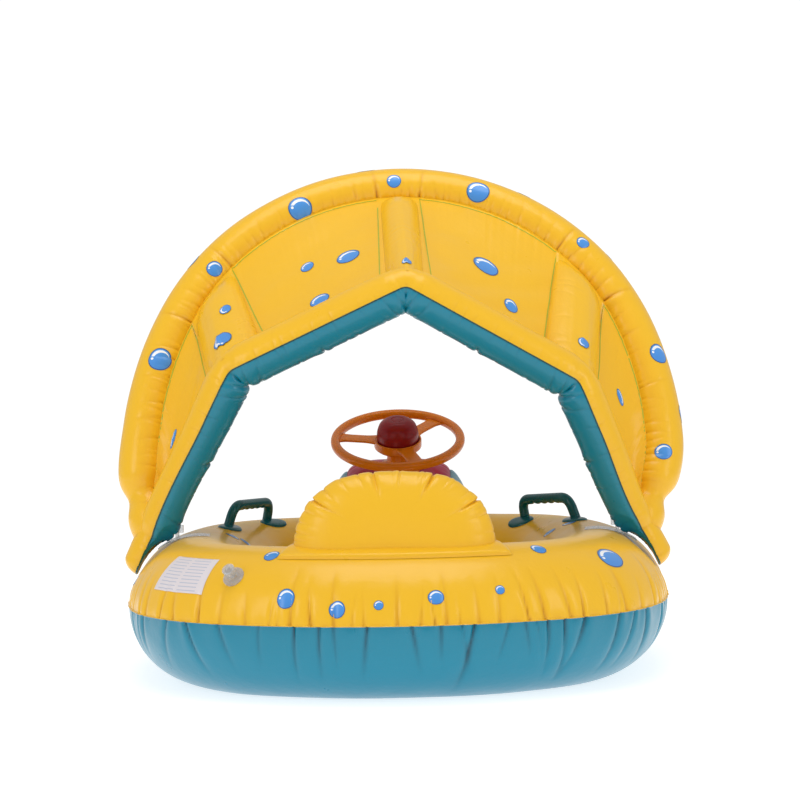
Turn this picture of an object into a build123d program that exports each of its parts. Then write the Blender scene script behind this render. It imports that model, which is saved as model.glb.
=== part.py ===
from build123d import *
from math import atan2, cos, degrees, hypot, radians, sin, sqrt
import os

# Inflatable child's swim boat with a sun canopy, in millimetres.
# +X is the boat's right side, +Y is forward (bow and steering wheel), +Z is up.
# The origin is on the floor, below the middle of the hull.

# Sheet and fits
film = 0.5  # welded PVC sheet
seat_gap = 0.3  # between a soft piece and what it lies on
pin_gap = 0.05  # radial, a pin in its hole
plug_gap = 0.07  # radial, a valve plug in its stem
weld_lip = 3.0  # flat edge where the two hull sheets are welded

# Hull ring: a fat tube on a plan of eight tangent arcs
ring_half_width = 262.0  # tube centre line, along X
ring_half_length = 310.0  # tube centre line, along Y
tube_radius = 88.0
side_bend = 620.0
end_bend = 330.0
corner_bend = 170.0
floor_squash = 1.5  # the tube flattens this much on the floor
seam_rise = 5.0  # weld above the tube's centre line

# Seat sling with two leg holes
sling_height = 32.0
leg_hole_width = 105.0
leg_hole_length = 135.0
leg_hole_spacing = 150.0
leg_hole_forward = 15.0
leg_hem_width = 9.0
leg_hem_thickness = 0.8

# Backrest pillow on the stern
backrest_half_width = 122.0
backrest_shoulder_half_width = 114.0
backrest_top_half_width = 74.0
backrest_height = 88.0  # above the tube's top
backrest_shoulder_drop = 36.0
backrest_crown = 9.0
backrest_depth = 70.0
backrest_y = -303.0
pillow_face_scale = 0.82  # flat face against the widest section

# Console cushion on the bow
console_half_width = 113.0
console_panel_half_width = 76.0
console_end_scale = 0.6
console_aft_y = 232.0
console_fore_y = 368.0
console_base_y = 255.0  # where the steering column leaves the slope
console_base_z = 246.0
console_round = 26.0

# Steering wheel; heights are along the column from the console's slope
column_lean = 24.0  # degrees, towards the child
wheel_height = 45.0
wheel_radius = 91.0
wheel_rim_radius = 6.5
spoke_width = 26.0
spoke_thickness = 4.0
spoke_phase = 50.0  # degrees
cup_radius = 34.5
cup_wall = 2.6
cup_floor = 3.0
cup_bottom = 31.0
cup_top = 46.5
spindle_radius = 5.0
collar_radius = 29.5
collar_height = 5.0
column_radius = 16.0
horn_radius = 31.0
horn_wall = 2.2
horn_travel = 5.0
horn_stop_gap = 1.5  # left under the horn when it is pressed home
horn_height = 37.5
squeaker_radius = 13.0
squeaker_wall = 2.0
squeaker_height = 16.0
washer_thickness = 1.2
screw_head_height = 3.0

# Grab handles
handle_span = 122.0  # between the two feet
handle_rise = 31.0  # grip centre above the tube
handle_grip_radius = 7.0
handle_bend = 17.0
handle_turn = 18.6  # degrees round the bow corner
handle_elevation = 105.0  # degrees round the tube, 90 is the top
handle_pad_length = 44.0
handle_pad_width = 32.0
handle_pad_rise = 3.5
handle_pad_depth = 9.0
scallop_radius = 9.0
scallop_depth = 2.2
scallop_count = 4

# Sun canopy: a leaning arch in front, a four-sided rim behind, three ribs and four panels
canopy_foot_y = -60.0
canopy_foot_z = 158.0
arch_lean = 21.65  # degrees forward
arch_radius = 31.0
arch_crown_bend = 330.0
arch_half_width = 341.0
arch_widest = 132.0  # along the lean, above the feet's line
arch_rise = 514.0
arch_leg_turn = 12.0  # degrees below the widest point
rim_lean = 11.86  # degrees aft
rim_radius = 29.0
rim_foot = (348.0, 12.0)
rim_corner = (217.0, 224.0)
rim_apex = (0.0, 337.0)
arch_seam = 142.0  # degrees round the tube, from outward towards aft
rim_seam = 80.0
rib_radius = 27.0
rib_turn = 36.0  # degrees on the arch where the side ribs end

# Canopy fasteners: a plug on each foot turns in a lug on the hull
pivot_z = 183.0
pin_radius = 4.0
plug_collar_width = 2.5
plug_rib_width = 1.2
lug_x = 284.0
lug_thickness = 3.0
lug_radius = 10.0
head_size = 10.0
head_thickness = 6.0
head_play = 0.5
plug_collar_radius = 7.0
plug_rib_radius = 5.0
plug_reach = 30.0

# Valves
valve_flange_radius = 13.0
valve_flange_rise = 1.2
valve_stem_radius = 6.5
valve_bore_radius = 4.6
valve_height = 13.0
valve_cap_radius = 7.6
valve_cap_thickness = 2.8
valve_plug_depth = 9.0
valve_weld_depth = 4.0  # reaches into the surface before it is cut to fit
canopy_valve_turn = 62.0  # degrees round the arch
backrest_valve_x = -45.0
backrest_valve_rise = 30.0  # above the tube's top
console_valve_x = 42.0
console_valve_rise = 6.0

# Places on the hull, as degrees round the plan's corner and round the tube
valve_turn = 242.0
valve_elevation = 41.0
label_turn = 225.0
label_elevation = 37.0
label_half_turn = 7.0
label_half_height = 19.0
label_thickness = 0.3

# Base patches of the cushions and fasteners, in the same degrees
backrest_patch_turn = 270.0
backrest_patch_sweep = 46.0
backrest_patch_band = (46.0, 132.0)
console_patch_turn = 90.0
console_patch_sweep = 44.0
console_patch_band = (40.0, 150.0)
fastener_patch_sweep = 4.8
fastener_patch_band = (55.0, 100.0)

tube_centre_z = tube_radius - floor_squash
tube_top_z = tube_centre_z + tube_radius
seam_z = tube_centre_z + seam_rise
patch_inside = tube_radius + seat_gap
on_patch = tube_radius + 2 * seat_gap + film
horn_bottom = cup_bottom + cup_floor + horn_travel + horn_stop_gap
horn_top = horn_bottom + horn_height
washer_bottom = cup_bottom + cup_floor + seat_gap


def circle_crossing(first, first_radius, second, second_radius):
    """The crossing of two circles that lies at positive Y."""
    dx = second[0] - first[0]
    dy = second[1] - first[1]
    gap = hypot(dx, dy)
    along = (gap**2 + first_radius**2 - second_radius**2) / (2 * gap)
    aside = sqrt(first_radius**2 - along**2)
    mid = (first[0] + along * dx / gap, first[1] + along * dy / gap)
    step = (-aside * dy / gap, aside * dx / gap)
    if step[1] < 0:
        step = (-step[0], -step[1])
    return mid[0] + step[0], mid[1] + step[1]


def ring_plan():
    """The hull's plan as (centre, radius, start angle, sweep) of eight tangent arcs."""
    side = (ring_half_width - side_bend, 0.0)
    end = (0.0, ring_half_length - end_bend)
    corner = circle_crossing(side, side_bend - corner_bend, end, end_bend - corner_bend)
    a = degrees(atan2(corner[1] - side[1], corner[0] - side[0]))
    b = degrees(atan2(corner[1] - end[1], corner[0] - end[0]))
    arcs = {"right": (side, side_bend, -a, 2 * a)}
    arcs["bow_right"] = (corner, corner_bend, a, b - a)
    arcs["bow"] = (end, end_bend, b, 180 - 2 * b)
    arcs["bow_left"] = ((-corner[0], corner[1]), corner_bend, 180 - b, b - a)
    arcs["left"] = ((-side[0], 0.0), side_bend, 180 - a, 2 * a)
    arcs["stern_left"] = ((-corner[0], -corner[1]), corner_bend, 180 + a, b - a)
    arcs["stern"] = ((0.0, -end[1]), end_bend, 180 + b, 180 - 2 * b)
    arcs["stern_right"] = ((corner[0], -corner[1]), corner_bend, 360 - b, b - a)
    return arcs


plan = ring_plan()


def bend(section, centre, start, sweep):
    """Turn a section, drawn as (distance from the centre, height), about a vertical line."""
    a = radians(start)
    radial = Plane(
        origin=(centre[0], centre[1], 0),
        x_dir=(cos(a), sin(a), 0),
        z_dir=(sin(a), -cos(a), 0),
    )
    axis = Axis((centre[0], centre[1], 0), (0, 0, 1))
    return revolve(radial * section, axis, sweep)


def around_ring(section_at):
    """Carry a section round the whole hull; section_at takes an arc's radius."""
    sectors = [bend(section_at(r), c, start, sweep) for c, r, start, sweep in plan.values()]
    return Part() + sectors


def tube_block(grow):
    """The hull's tube as one filled ring, grown by a clearance."""
    return around_ring(lambda r: Pos(r, tube_centre_z) * Circle(tube_radius + grow))


def hull_skin(top):
    """Upper or lower hull sheet, with its share of the weld's lip."""
    sign = 1 if top else -1
    lip_start = sqrt(tube_radius**2 - seam_rise**2) - film

    def section(r):
        outside = Pos(r, tube_centre_z) * Circle(tube_radius)
        inside = Pos(r, tube_centre_z) * Circle(tube_radius - film)
        above_floor = Pos(r, 2 * tube_radius) * Rectangle(4 * tube_radius, 4 * tube_radius)
        wall = (outside & above_floor) - (inside & (Pos(0, film) * above_floor))
        half = Pos(r, seam_z + sign * 2 * tube_radius) * Rectangle(4 * tube_radius, 4 * tube_radius)
        wall = wall & half
        reach = film + weld_lip
        for way in (-1, 1):
            x = r + way * (lip_start + reach / 2)
            wall += Pos(x, seam_z + sign * film / 2) * Rectangle(reach, film)
        return wall

    return around_ring(section)


def tube_patch(arc, turn, sweep, band, thickness):
    """A thin sheet on the tube, centred at an angle of the plan, over a band round the tube."""
    centre, r = plan[arc][:2]
    low, high = band
    inside = patch_inside
    middle = (r, tube_centre_z)
    outer = CenterArc(middle, inside + thickness, low, high - low)
    inner = CenterArc(middle, inside, low, high - low)
    ends = Line(outer @ 0, inner @ 0) + Line(outer @ 1, inner @ 1)
    return bend(make_face(outer + inner + ends), centre, turn - sweep / 2, sweep)


def tube_place(arc, turn, elevation):
    """Plane on the tube's surface: X round the plan, Z outwards."""
    centre, r = plan[arc][:2]
    a = radians(turn)
    e = radians(elevation)
    reach = r + tube_radius * cos(e)
    point = (
        centre[0] + reach * cos(a),
        centre[1] + reach * sin(a),
        tube_centre_z + tube_radius * sin(e),
    )
    normal = (cos(e) * cos(a), cos(e) * sin(a), sin(e))
    return Plane(origin=point, x_dir=(-sin(a), cos(a), 0), z_dir=normal)


def inside_plan(inset):
    """The plan's face, moved inwards by inset."""
    edges = []
    for centre, r, start, sweep in plan.values():
        edges.append(CenterArc(centre, r - inset, start, sweep))
    return make_face(Curve() + edges)


def leg_holes(grow):
    ellipse = Ellipse(leg_hole_width / 2 + grow, leg_hole_length / 2 + grow)
    places = [Pos(way * leg_hole_spacing / 2, leg_hole_forward) for way in (-1, 1)]
    return [place * ellipse for place in places]


def seat_sling():
    drop = tube_centre_z - sling_height
    inset = sqrt(tube_radius**2 - drop**2) + seat_gap
    sheet = inside_plan(inset) - leg_holes(0)
    return Pos(0, 0, sling_height - film) * extrude(sheet, film)


def leg_hole_hems():
    hems = [ring - hole for ring, hole in zip(leg_holes(leg_hem_width), leg_holes(0))]
    return [Pos(0, 0, sling_height) * extrude(hem, leg_hem_thickness) for hem in hems]


def backrest_outline(inset):
    """The pillow seen from behind, as (X, Z)."""
    base = tube_centre_z
    top = tube_top_z + backrest_height
    shoulder = (backrest_shoulder_half_width, top - backrest_shoulder_drop)
    corner = (backrest_top_half_width, top - backrest_crown)
    left = Polyline((-corner[0], corner[1]), (-shoulder[0], shoulder[1]), (-backrest_half_width, base))
    right = Polyline((backrest_half_width, base), shoulder, corner)
    crown = ThreePointArc(corner, (0, top), (-corner[0], corner[1]))
    face = make_face(left + Line(left @ 1, right @ 0) + right + crown)
    return offset(face, -inset, kind=Kind.INTERSECTION) if inset else face


def pillow(inset):
    """Two tapering halves on the pillow's widest section."""
    full = backrest_outline(inset)
    small = scale(full, by=(pillow_face_scale, pillow_face_scale, 1))
    small = Pos(0, (1 - pillow_face_scale) * tube_centre_z) * small
    middle = Plane(origin=(0, backrest_y, 0), x_dir=(1, 0, 0), z_dir=(0, -1, 0))
    reach = backrest_depth / 2 - inset
    halves = []
    for way in (-1, 1):
        face_plane = middle.offset(way * reach)
        halves.append(loft([middle * full, face_plane * small], ruled=True))
    return halves[0] + halves[1]


def backrest_cushion():
    outside = pillow(0) - tube_block(on_patch - tube_radius)
    inside = pillow(film) - tube_block(on_patch - tube_radius + film)
    return outside - inside


def console_profile(inset):
    """The console seen from the boat's left, as (Y, Z); its aft top slopes with the column."""
    slope = radians(column_lean)
    aft_z = console_base_z - (console_base_y - console_aft_y) * sin(slope) / cos(slope)
    crest_y = (console_aft_y + console_fore_y) / 2
    crest_z = console_base_z + (crest_y - console_base_y) * sin(slope) / cos(slope)
    base = tube_centre_z
    points = [
        (console_aft_y, base),
        (console_aft_y, aft_z),
        (crest_y, crest_z),
        (console_fore_y, aft_z - console_round),
        (console_fore_y, base),
    ]
    face = make_face(Polyline(*points, close=True))
    tops = face.vertices().sort_by(Axis.Y)[2:]
    face = fillet(tops, console_round)
    return offset(face, -inset, kind=Kind.INTERSECTION) if inset else face


def console_section(inset, x, size):
    """The console's profile in the plane at x, shrunk about its base."""
    profile = console_profile(inset)
    middle_y = (console_aft_y + console_fore_y) / 2
    if size != 1:
        profile = scale(profile, by=(size, size, 1))
        profile = Pos((1 - size) * middle_y, (1 - size) * tube_centre_z) * profile
    return Plane(origin=(x, 0, 0), x_dir=(0, 1, 0), z_dir=(1, 0, 0)) * profile


def console_panel():
    """The middle band, open at both ends where the side gussets join it."""
    reach = console_panel_half_width
    outside = extrude(console_section(0, -reach, 1), 2 * reach)
    inside = extrude(console_section(film, -reach, 1), 2 * reach)
    outside -= tube_block(on_patch - tube_radius)
    inside -= tube_block(on_patch - tube_radius + film)
    return outside - inside


def console_gusset(side):
    start = side * (console_panel_half_width + seat_gap)
    stop = side * console_half_width
    shrunk = console_end_scale
    outside = loft([console_section(0, start, 1), console_section(0, stop, shrunk)], ruled=True)
    inner_stop = stop - side * film
    inside = loft(
        [console_section(film, start, 1), console_section(film, inner_stop, shrunk)], ruled=True
    )
    outside -= tube_block(on_patch - tube_radius)
    inside -= tube_block(on_patch - tube_radius + film)
    return outside - inside


lean = radians(column_lean)
column = Plane(
    origin=(0, console_base_y, console_base_z),
    x_dir=(1, 0, 0),
    z_dir=(0, -sin(lean), cos(lean)),
)


def disc(radius, low, high):
    """An upright cylinder between two heights."""
    return Pos(0, 0, low) * extrude(Circle(radius), high - low)


def column_collar():
    """Collar and column, with the bore that holds the spindle."""
    top = cup_bottom - seat_gap
    body = disc(collar_radius, seat_gap, collar_height)
    body = fillet(body.edges().sort_by(Axis.Z)[-1], collar_height / 3)
    body += disc(column_radius, collar_height, top)
    return column * (body - disc(spindle_radius, seat_gap, top))


def spindle():
    return column * disc(spindle_radius, 2 * seat_gap, washer_bottom)


def spindle_washer():
    return column * disc(2 * spindle_radius, washer_bottom, washer_bottom + washer_thickness)


def spindle_screw():
    low = washer_bottom + washer_thickness
    top = low + screw_head_height
    head = disc(1.2 * spindle_radius, low, top)
    slot = Pos(0, 0, top) * Box(2.6 * spindle_radius, screw_head_height / 2, 2 * screw_head_height / 3)
    return column * (head - slot)


def steering_wheel():
    """One moulding: rim, three spokes and the hub cup that the horn sits in."""
    rim = Pos(0, 0, wheel_height) * Torus(wheel_radius, wheel_rim_radius)
    cup = disc(cup_radius, cup_bottom, cup_top) - disc(cup_radius - cup_wall, cup_bottom + cup_floor, cup_top)
    reach = wheel_radius - cup_radius + cup_wall
    middle = (wheel_radius + cup_radius - cup_wall) / 2
    spoke = Pos(middle, 0, wheel_height - spoke_thickness / 2) * Box(reach, spoke_width, spoke_thickness)
    spokes = [Rot(0, 0, spoke_phase + turn) * spoke for turn in (0, 120, 240)]
    wheel = rim + cup + spokes
    return column * (wheel - disc(spindle_radius + pin_gap, cup_bottom, cup_bottom + cup_floor))


def horn_squeaker():
    """The whistle that the horn squeezes, standing over the screw."""
    low = cup_bottom + cup_floor
    top = low + squeaker_height
    roof = top - squeaker_wall
    body = disc(squeaker_radius, low, top) - disc(squeaker_radius - squeaker_wall, low, roof)
    return column * (body - disc(squeaker_wall, roof, top))


def horn_dome(radius, low, high):
    """A straight skirt under a flattened dome."""
    skirt = 0.4 * (high - low)
    body = disc(radius, low, high)
    return fillet(body.edges().sort_by(Axis.Z)[-1], min(high - low - skirt, 0.75 * radius))


def horn_button():
    shell = horn_dome(horn_radius, horn_bottom, horn_top)
    return column * (shell - horn_dome(horn_radius - horn_wall, horn_bottom, horn_top - horn_wall))


def handle_place(side):
    arc = "bow_right" if side > 0 else "bow_left"
    turn = handle_turn if side > 0 else 180 - handle_turn
    return tube_place(arc, turn, handle_elevation)


def handle_rod():
    """The bent rod, along the place's X with both feet down."""
    half = handle_span / 2
    depth = -handle_pad_depth / 2
    path = FilletPolyline(
        (-half, 0, depth),
        (-half + handle_bend / 3, 0, handle_rise),
        (half - handle_bend / 3, 0, handle_rise),
        (half, 0, depth),
        radius=handle_bend,
    )
    start = Plane(origin=path @ 0, z_dir=path % 0)
    return sweep(start * Circle(handle_grip_radius), path)


def handle_grip(side):
    """The rod with finger scallops under its grip, its feet cut to the tube."""
    rod = handle_rod()
    step = 2 * scallop_radius * 0.9
    low = handle_rise - handle_grip_radius - scallop_radius + scallop_depth
    for i in range(scallop_count):
        x = (i - (scallop_count - 1) / 2) * step
        rod -= Pos(x, 0, low) * Rot(90, 0, 0) * Cylinder(scallop_radius, 4 * handle_grip_radius)
    return handle_place(side) * rod - tube_block(seat_gap)


def handle_pads(side):
    """Two oval pads welded on the tube, each holding one foot of the rod."""
    place = handle_place(side)
    block = tube_block(seat_gap)
    pads = []
    for way in (-1, 1):
        oval = Ellipse(handle_pad_length / 2, handle_pad_width / 2)
        pad = Pos(way * handle_span / 2, 0, -handle_pad_depth) * extrude(oval, handle_pad_depth + handle_pad_rise)
        pads.append(place * (pad - handle_rod()) - block)
    return pads


def leaning_plane(angle):
    """A plane through the canopy's feet that leans forward by angle; its Z points aft."""
    a = radians(angle)
    return Plane(
        origin=(0, canopy_foot_y, canopy_foot_z), x_dir=(1, 0, 0), z_dir=(0, -cos(a), sin(a))
    )


arch_plane = leaning_plane(arch_lean)
rim_plane = leaning_plane(-rim_lean)


def arch_arcs():
    """The arch's centre line as (centre, radius, start angle, sweep), right side first."""
    crown_y = arch_rise - arch_crown_bend
    rise = crown_y - arch_widest
    w = arch_half_width
    c = arch_crown_bend
    bend_radius = (w**2 + rise**2 - c**2) / (2 * (w - c))
    meet = degrees(atan2(rise, bend_radius - w))
    side = (w - bend_radius, arch_widest)
    right = (side, bend_radius, -arch_leg_turn, arch_leg_turn + meet)
    crown = ((0.0, crown_y), c, meet, 180 - 2 * meet)
    left = ((-side[0], arch_widest), bend_radius, 180 - meet, arch_leg_turn + meet)
    return [right, crown, left]


def half_wall(radius, thickness, middle):
    """Half of a thin tube's section, its middle at this angle."""
    half = Rot(0, 0, middle) * Pos(2 * radius, 0) * Rectangle(4 * radius, 4 * radius)
    return (Circle(radius) - Circle(radius - thickness)) & half


def half_disc(radius, middle):
    return Circle(radius) & (Rot(0, 0, middle) * Pos(2 * radius, 0) * Rectangle(4 * radius, 4 * radius))


def arch_block(grow):
    solids = [
        bend(Pos(r, 0) * Circle(arch_radius + grow), c, start, sweep)
        for c, r, start, sweep in arch_arcs()
    ]
    return arch_plane * (Part() + solids)


def arch_skin(middle):
    """One sheet of the arch, closed at both feet."""
    arcs = arch_arcs()
    solids = []
    for c, r, start, sweep in arcs:
        solids.append(bend(Pos(r, 0) * half_wall(arch_radius, film, middle), c, start, sweep))
    for (c, r, start, sweep), first in ((arcs[0], True), (arcs[-1], False)):
        cap = degrees(film / r)
        begin = start if first else start + sweep - cap
        solids.append(bend(Pos(r, 0) * half_disc(arch_radius, middle), c, begin, cap))
    return arch_plane * (Part() + solids)


rim_points = [
    rim_foot,
    rim_corner,
    rim_apex,
    (-rim_corner[0], rim_corner[1]),
    (-rim_foot[0], rim_foot[1]),
]


def rim_tube(section, end_section=None):
    """Four straight runs, mitred where they meet."""
    runs = []
    points = [Vector(x, y, 0) for x, y in rim_points]
    ways = [(b - a).normalized() for a, b in zip(points, points[1:])]
    last = len(ways) - 1
    spare = 2 * rim_radius
    for i, way in enumerate(ways):
        begin = points[i] - way * (spare if i else 0)
        stop = points[i + 1] + way * (spare if i < last else 0)
        start = Plane(origin=begin, x_dir=(way.Y, -way.X, 0), z_dir=(-way.X, -way.Y, 0))
        run = extrude(start * section, (stop - begin).length, dir=way)
        if end_section and i == 0:
            run += extrude(start * end_section, film, dir=way)
        if end_section and i == last:
            finish = Plane(origin=stop, x_dir=(way.Y, -way.X, 0), z_dir=(-way.X, -way.Y, 0))
            run += extrude(finish * end_section, film, dir=-way)
        if i:
            mitre = Plane(origin=points[i], z_dir=ways[i - 1] + way)
            run = split(run, mitre, keep=Keep.TOP)
        if i < last:
            mitre = Plane(origin=points[i + 1], z_dir=way + ways[i + 1])
            run = split(run, mitre, keep=Keep.BOTTOM)
        runs.append(run)
    return rim_plane * (Part() + runs)


def rim_block(grow):
    return rim_tube(Circle(rim_radius + grow))


def rim_skin(middle):
    return rim_tube(half_wall(rim_radius, film, middle), half_disc(rim_radius, middle))


def on_plane(plane, point):
    return plane.from_local_coords(Vector(point[0], point[1], 0))


def arch_point(turn):
    """A point of the arch's crown, by its angle."""
    c, r = arch_arcs()[1][:2]
    a = radians(turn)
    return on_plane(arch_plane, (c[0] + r * cos(a), c[1] + r * sin(a)))


def rib_ends(name):
    if name == "centre":
        return on_plane(rim_plane, rim_apex), arch_point(90)
    side = 1 if name == "right" else -1
    turn = rib_turn if side > 0 else 180 - rib_turn
    return on_plane(rim_plane, (side * rim_corner[0], rim_corner[1])), arch_point(turn)


def rib_skin(name, top, trims):
    """Upper or under sheet of one rib, between the rim and the arch."""
    start, stop = rib_ends(name)
    way = (stop - start).normalized()
    out = Vector(start.X, 0, start.Z - canopy_foot_z).normalized()
    out = (out - way * out.dot(way)).normalized()
    base = Plane(origin=start, x_dir=out, z_dir=way)
    wall = half_wall(rib_radius, film, 0 if top else 180)
    skin = extrude(base * wall, (stop - start).length)
    for trim in trims:
        skin -= trim
    return skin


def rib_block(name, grow):
    start, stop = rib_ends(name)
    way = (stop - start).normalized()
    return extrude(Plane(origin=start, z_dir=way) * Circle(rib_radius + grow), (stop - start).length)


def canopy_panel(side, inner, trims):
    """A single sheet ruled between a run of the rim and the arch."""
    if inner:
        low = on_plane(rim_plane, (side * rim_corner[0], rim_corner[1]))
        high = on_plane(rim_plane, rim_apex)
        turns = (rib_turn, (rib_turn + 90) / 2, 90)
        far = [arch_point(t if side > 0 else 180 - t) for t in turns]
    else:
        low = on_plane(rim_plane, (side * rim_foot[0], rim_foot[1]))
        high = on_plane(rim_plane, (side * rim_corner[0], rim_corner[1]))
        c, r, start, _ = arch_arcs()[0]
        a = radians(start)
        foot = (side * (c[0] + r * cos(a)), c[1] + r * sin(a))
        waist = (side * arch_half_width, arch_widest)
        top = arch_point(rib_turn if side > 0 else 180 - rib_turn)
        far = [on_plane(arch_plane, foot), on_plane(arch_plane, waist), top]
    near_edge = Edge.make_line(low, high)
    far_edge = Edge.make_spline(far)
    sheet = thicken(Face.make_surface_from_curves(near_edge, far_edge), film / 2, both=True)
    for trim in trims:
        sheet -= trim
    return largest(sheet)


def largest(shape):
    return shape.solids().sort_by(SortBy.VOLUME)[-1]


def valve_body(place, seat):
    """Flange, stem and bore, standing on a surface; seat is cut away."""
    body = disc(valve_flange_radius, -valve_weld_depth, valve_flange_rise)
    body += disc(valve_stem_radius, 0, valve_height)
    body -= disc(valve_bore_radius, -valve_weld_depth, valve_height)
    return largest(place * body - seat)


def valve_plug(place):
    """Push-in plug with a wide cap."""
    low = valve_height + seat_gap
    cap = disc(valve_cap_radius, low, low + valve_cap_thickness)
    cap = fillet(cap.edges().sort_by(Axis.Z)[-1], valve_cap_thickness / 3)
    shaft = disc(valve_bore_radius - plug_gap, low - valve_plug_depth, low)
    return place * (cap + shaft)


def pivot_rod(radius, low, high, side):
    """A rod on the canopy's pivot line between two distances from the middle."""
    at = Plane(origin=(side * low, canopy_foot_y, pivot_z), z_dir=(side, 0, 0))
    return extrude(at * Circle(radius), high - low)


def fastener_lug(side, block):
    """Clear lug on the hull, with the hole that the canopy's plug turns in."""
    drop = pivot_z - tube_centre_z
    stem = Pos(side * (lug_x + lug_thickness / 2), canopy_foot_y, pivot_z - drop / 2)
    body = pivot_rod(lug_radius, lug_x, lug_x + lug_thickness, side)
    body += stem * Box(lug_thickness, 2 * lug_radius, drop)
    body -= pivot_rod(pin_radius + pin_gap, lug_x, lug_x + lug_thickness, side)
    return body - block


def fastener_plug(side, trims):
    """Clear plug welded to a canopy foot: block head, shaft, collar and ribs."""
    head_end = lug_x - head_play
    middle = head_end - head_thickness / 2
    head = Pos(side * middle, canopy_foot_y, pivot_z) * Box(head_thickness, head_size, head_size)
    body = head + pivot_rod(pin_radius, head_end, head_end + plug_reach, side)
    collar = lug_x + lug_thickness + head_play
    body += pivot_rod(plug_collar_radius, collar, collar + plug_collar_width, side)
    for i in (1, 2):
        low = collar + plug_collar_width * (i + 1)
        body += pivot_rod(plug_rib_radius, low, low + plug_rib_width, side)
    for trim in trims:
        body -= trim
    return largest(body)


def build_hull():
    backrest_patch = (backrest_patch_turn, backrest_patch_sweep, backrest_patch_band)
    console_patch = (console_patch_turn, console_patch_sweep, console_patch_band)
    label_band = (label_elevation - label_half_height, label_elevation + label_half_height)
    fastener_turn = degrees(atan2(-canopy_foot_y, side_bend))
    nodes = {
        "hull_top_skin": hull_skin(True),
        "hull_bottom_skin": hull_skin(False),
        "seat_sling": seat_sling(),
        "leg_hole_hems": leg_hole_hems(),
        "backrest_base_patch": tube_patch("stern", *backrest_patch, film),
        "backrest_cushion": backrest_cushion(),
        "console_base_patch": tube_patch("bow", *console_patch, film),
        "console_centre_panel": console_panel(),
        "console_side_gussets": [console_gusset(-1), console_gusset(1)],
        "column_collar": column_collar(),
        "column_spindle": spindle(),
        "spindle_washer": spindle_washer(),
        "spindle_screw": spindle_screw(),
        "label_patch": tube_patch(
            "stern_left", label_turn, 2 * label_half_turn, label_band, label_thickness
        ),
    }
    for side, name in ((-1, "left"), (1, "right")):
        nodes[f"{name}_handle_grip"] = handle_grip(side)
        nodes[f"{name}_handle_pads"] = handle_pads(side)
        turn = 180 + fastener_turn if side < 0 else -fastener_turn
        nodes[f"{name}_fastener_patch"] = tube_patch(
            name, turn, fastener_patch_sweep, fastener_patch_band, film
        )
        nodes[f"{name}_fastener_lug"] = fastener_lug(side, tube_block(on_patch - tube_radius))
    place = tube_place("stern_left", valve_turn, valve_elevation)
    nodes["hull_valve_stem"] = valve_body(place, tube_block(seat_gap))
    nodes["hull_valve_plug"] = valve_plug(place)
    return nodes


def flat_valve(nodes, name, place):
    """A valve on a flat face of a cushion."""
    place = place.offset(seat_gap)
    below = place * disc(2 * valve_flange_radius, -2 * valve_weld_depth, 0)
    nodes[f"{name}_valve_stem"] = valve_body(place, below)
    nodes[f"{name}_valve_plug"] = valve_plug(place)


def build_canopy():
    arch_seat = arch_block(seat_gap)
    rim_seat = rim_block(seat_gap)
    tubes = [arch_seat, rim_seat]
    nodes = {
        "rear_rim_top_skin": rim_skin(rim_seam - 90),
        "rear_rim_under_skin": rim_skin(rim_seam + 90),
        "front_arch_top_skin": largest(arch_skin(arch_seam - 90) - rim_seat),
        "front_arch_under_skin": largest(arch_skin(arch_seam + 90) - rim_seat),
    }
    ribs = {name: rib_block(name, seat_gap) for name in ("left", "centre", "right")}
    for name in ribs:
        nodes[f"{name}_rib_top_skin"] = largest(rib_skin(name, True, tubes))
        nodes[f"{name}_rib_under_skin"] = largest(rib_skin(name, False, tubes))
    for side, name in ((-1, "left"), (1, "right")):
        nodes[f"{name}_inner_panel"] = canopy_panel(side, True, tubes + [ribs[name], ribs["centre"]])
        nodes[f"{name}_outer_panel"] = canopy_panel(side, False, tubes + [ribs[name]])
        nodes[f"{name}_fastener_plug"] = fastener_plug(side, tubes)
    crown = arch_point(canopy_valve_turn)
    ahead = Plane(origin=crown, z_dir=-arch_plane.z_dir).offset(arch_radius)
    nodes["canopy_valve_stem"] = valve_body(ahead, arch_seat)
    nodes["canopy_valve_plug"] = valve_plug(ahead)
    return nodes


def write(nodes):
    os.makedirs("parts", exist_ok=True)
    for name, shape in nodes.items():
        shapes = shape if isinstance(shape, list) else [shape]
        solids = [solid for item in shapes for solid in item.solids()]
        export_step(Compound(children=solids), f"parts/{name}.step")


def build_cushion_valves():
    nodes = {}
    backrest_front = (backrest_valve_x, backrest_y + backrest_depth / 2, tube_top_z + backrest_valve_rise)
    console_fore = (console_valve_x, console_fore_y, tube_top_z + console_valve_rise)
    for name, origin in (("backrest", backrest_front), ("console", console_fore)):
        flat_valve(nodes, name, Plane(origin=origin, x_dir=(1, 0, 0), z_dir=(0, 1, 0)))
    return nodes


def build_wheel():
    return {
        "steering_wheel": steering_wheel(),
        "horn_squeaker": horn_squeaker(),
        "horn_button": horn_button(),
    }


write(build_hull() | build_cushion_valves() | build_wheel() | build_canopy())
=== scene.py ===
from math import asin, atan2, cos, degrees, hypot, pi, radians, sin, sqrt

import bpy
import numpy as np
from mathutils import Matrix, Vector


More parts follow.
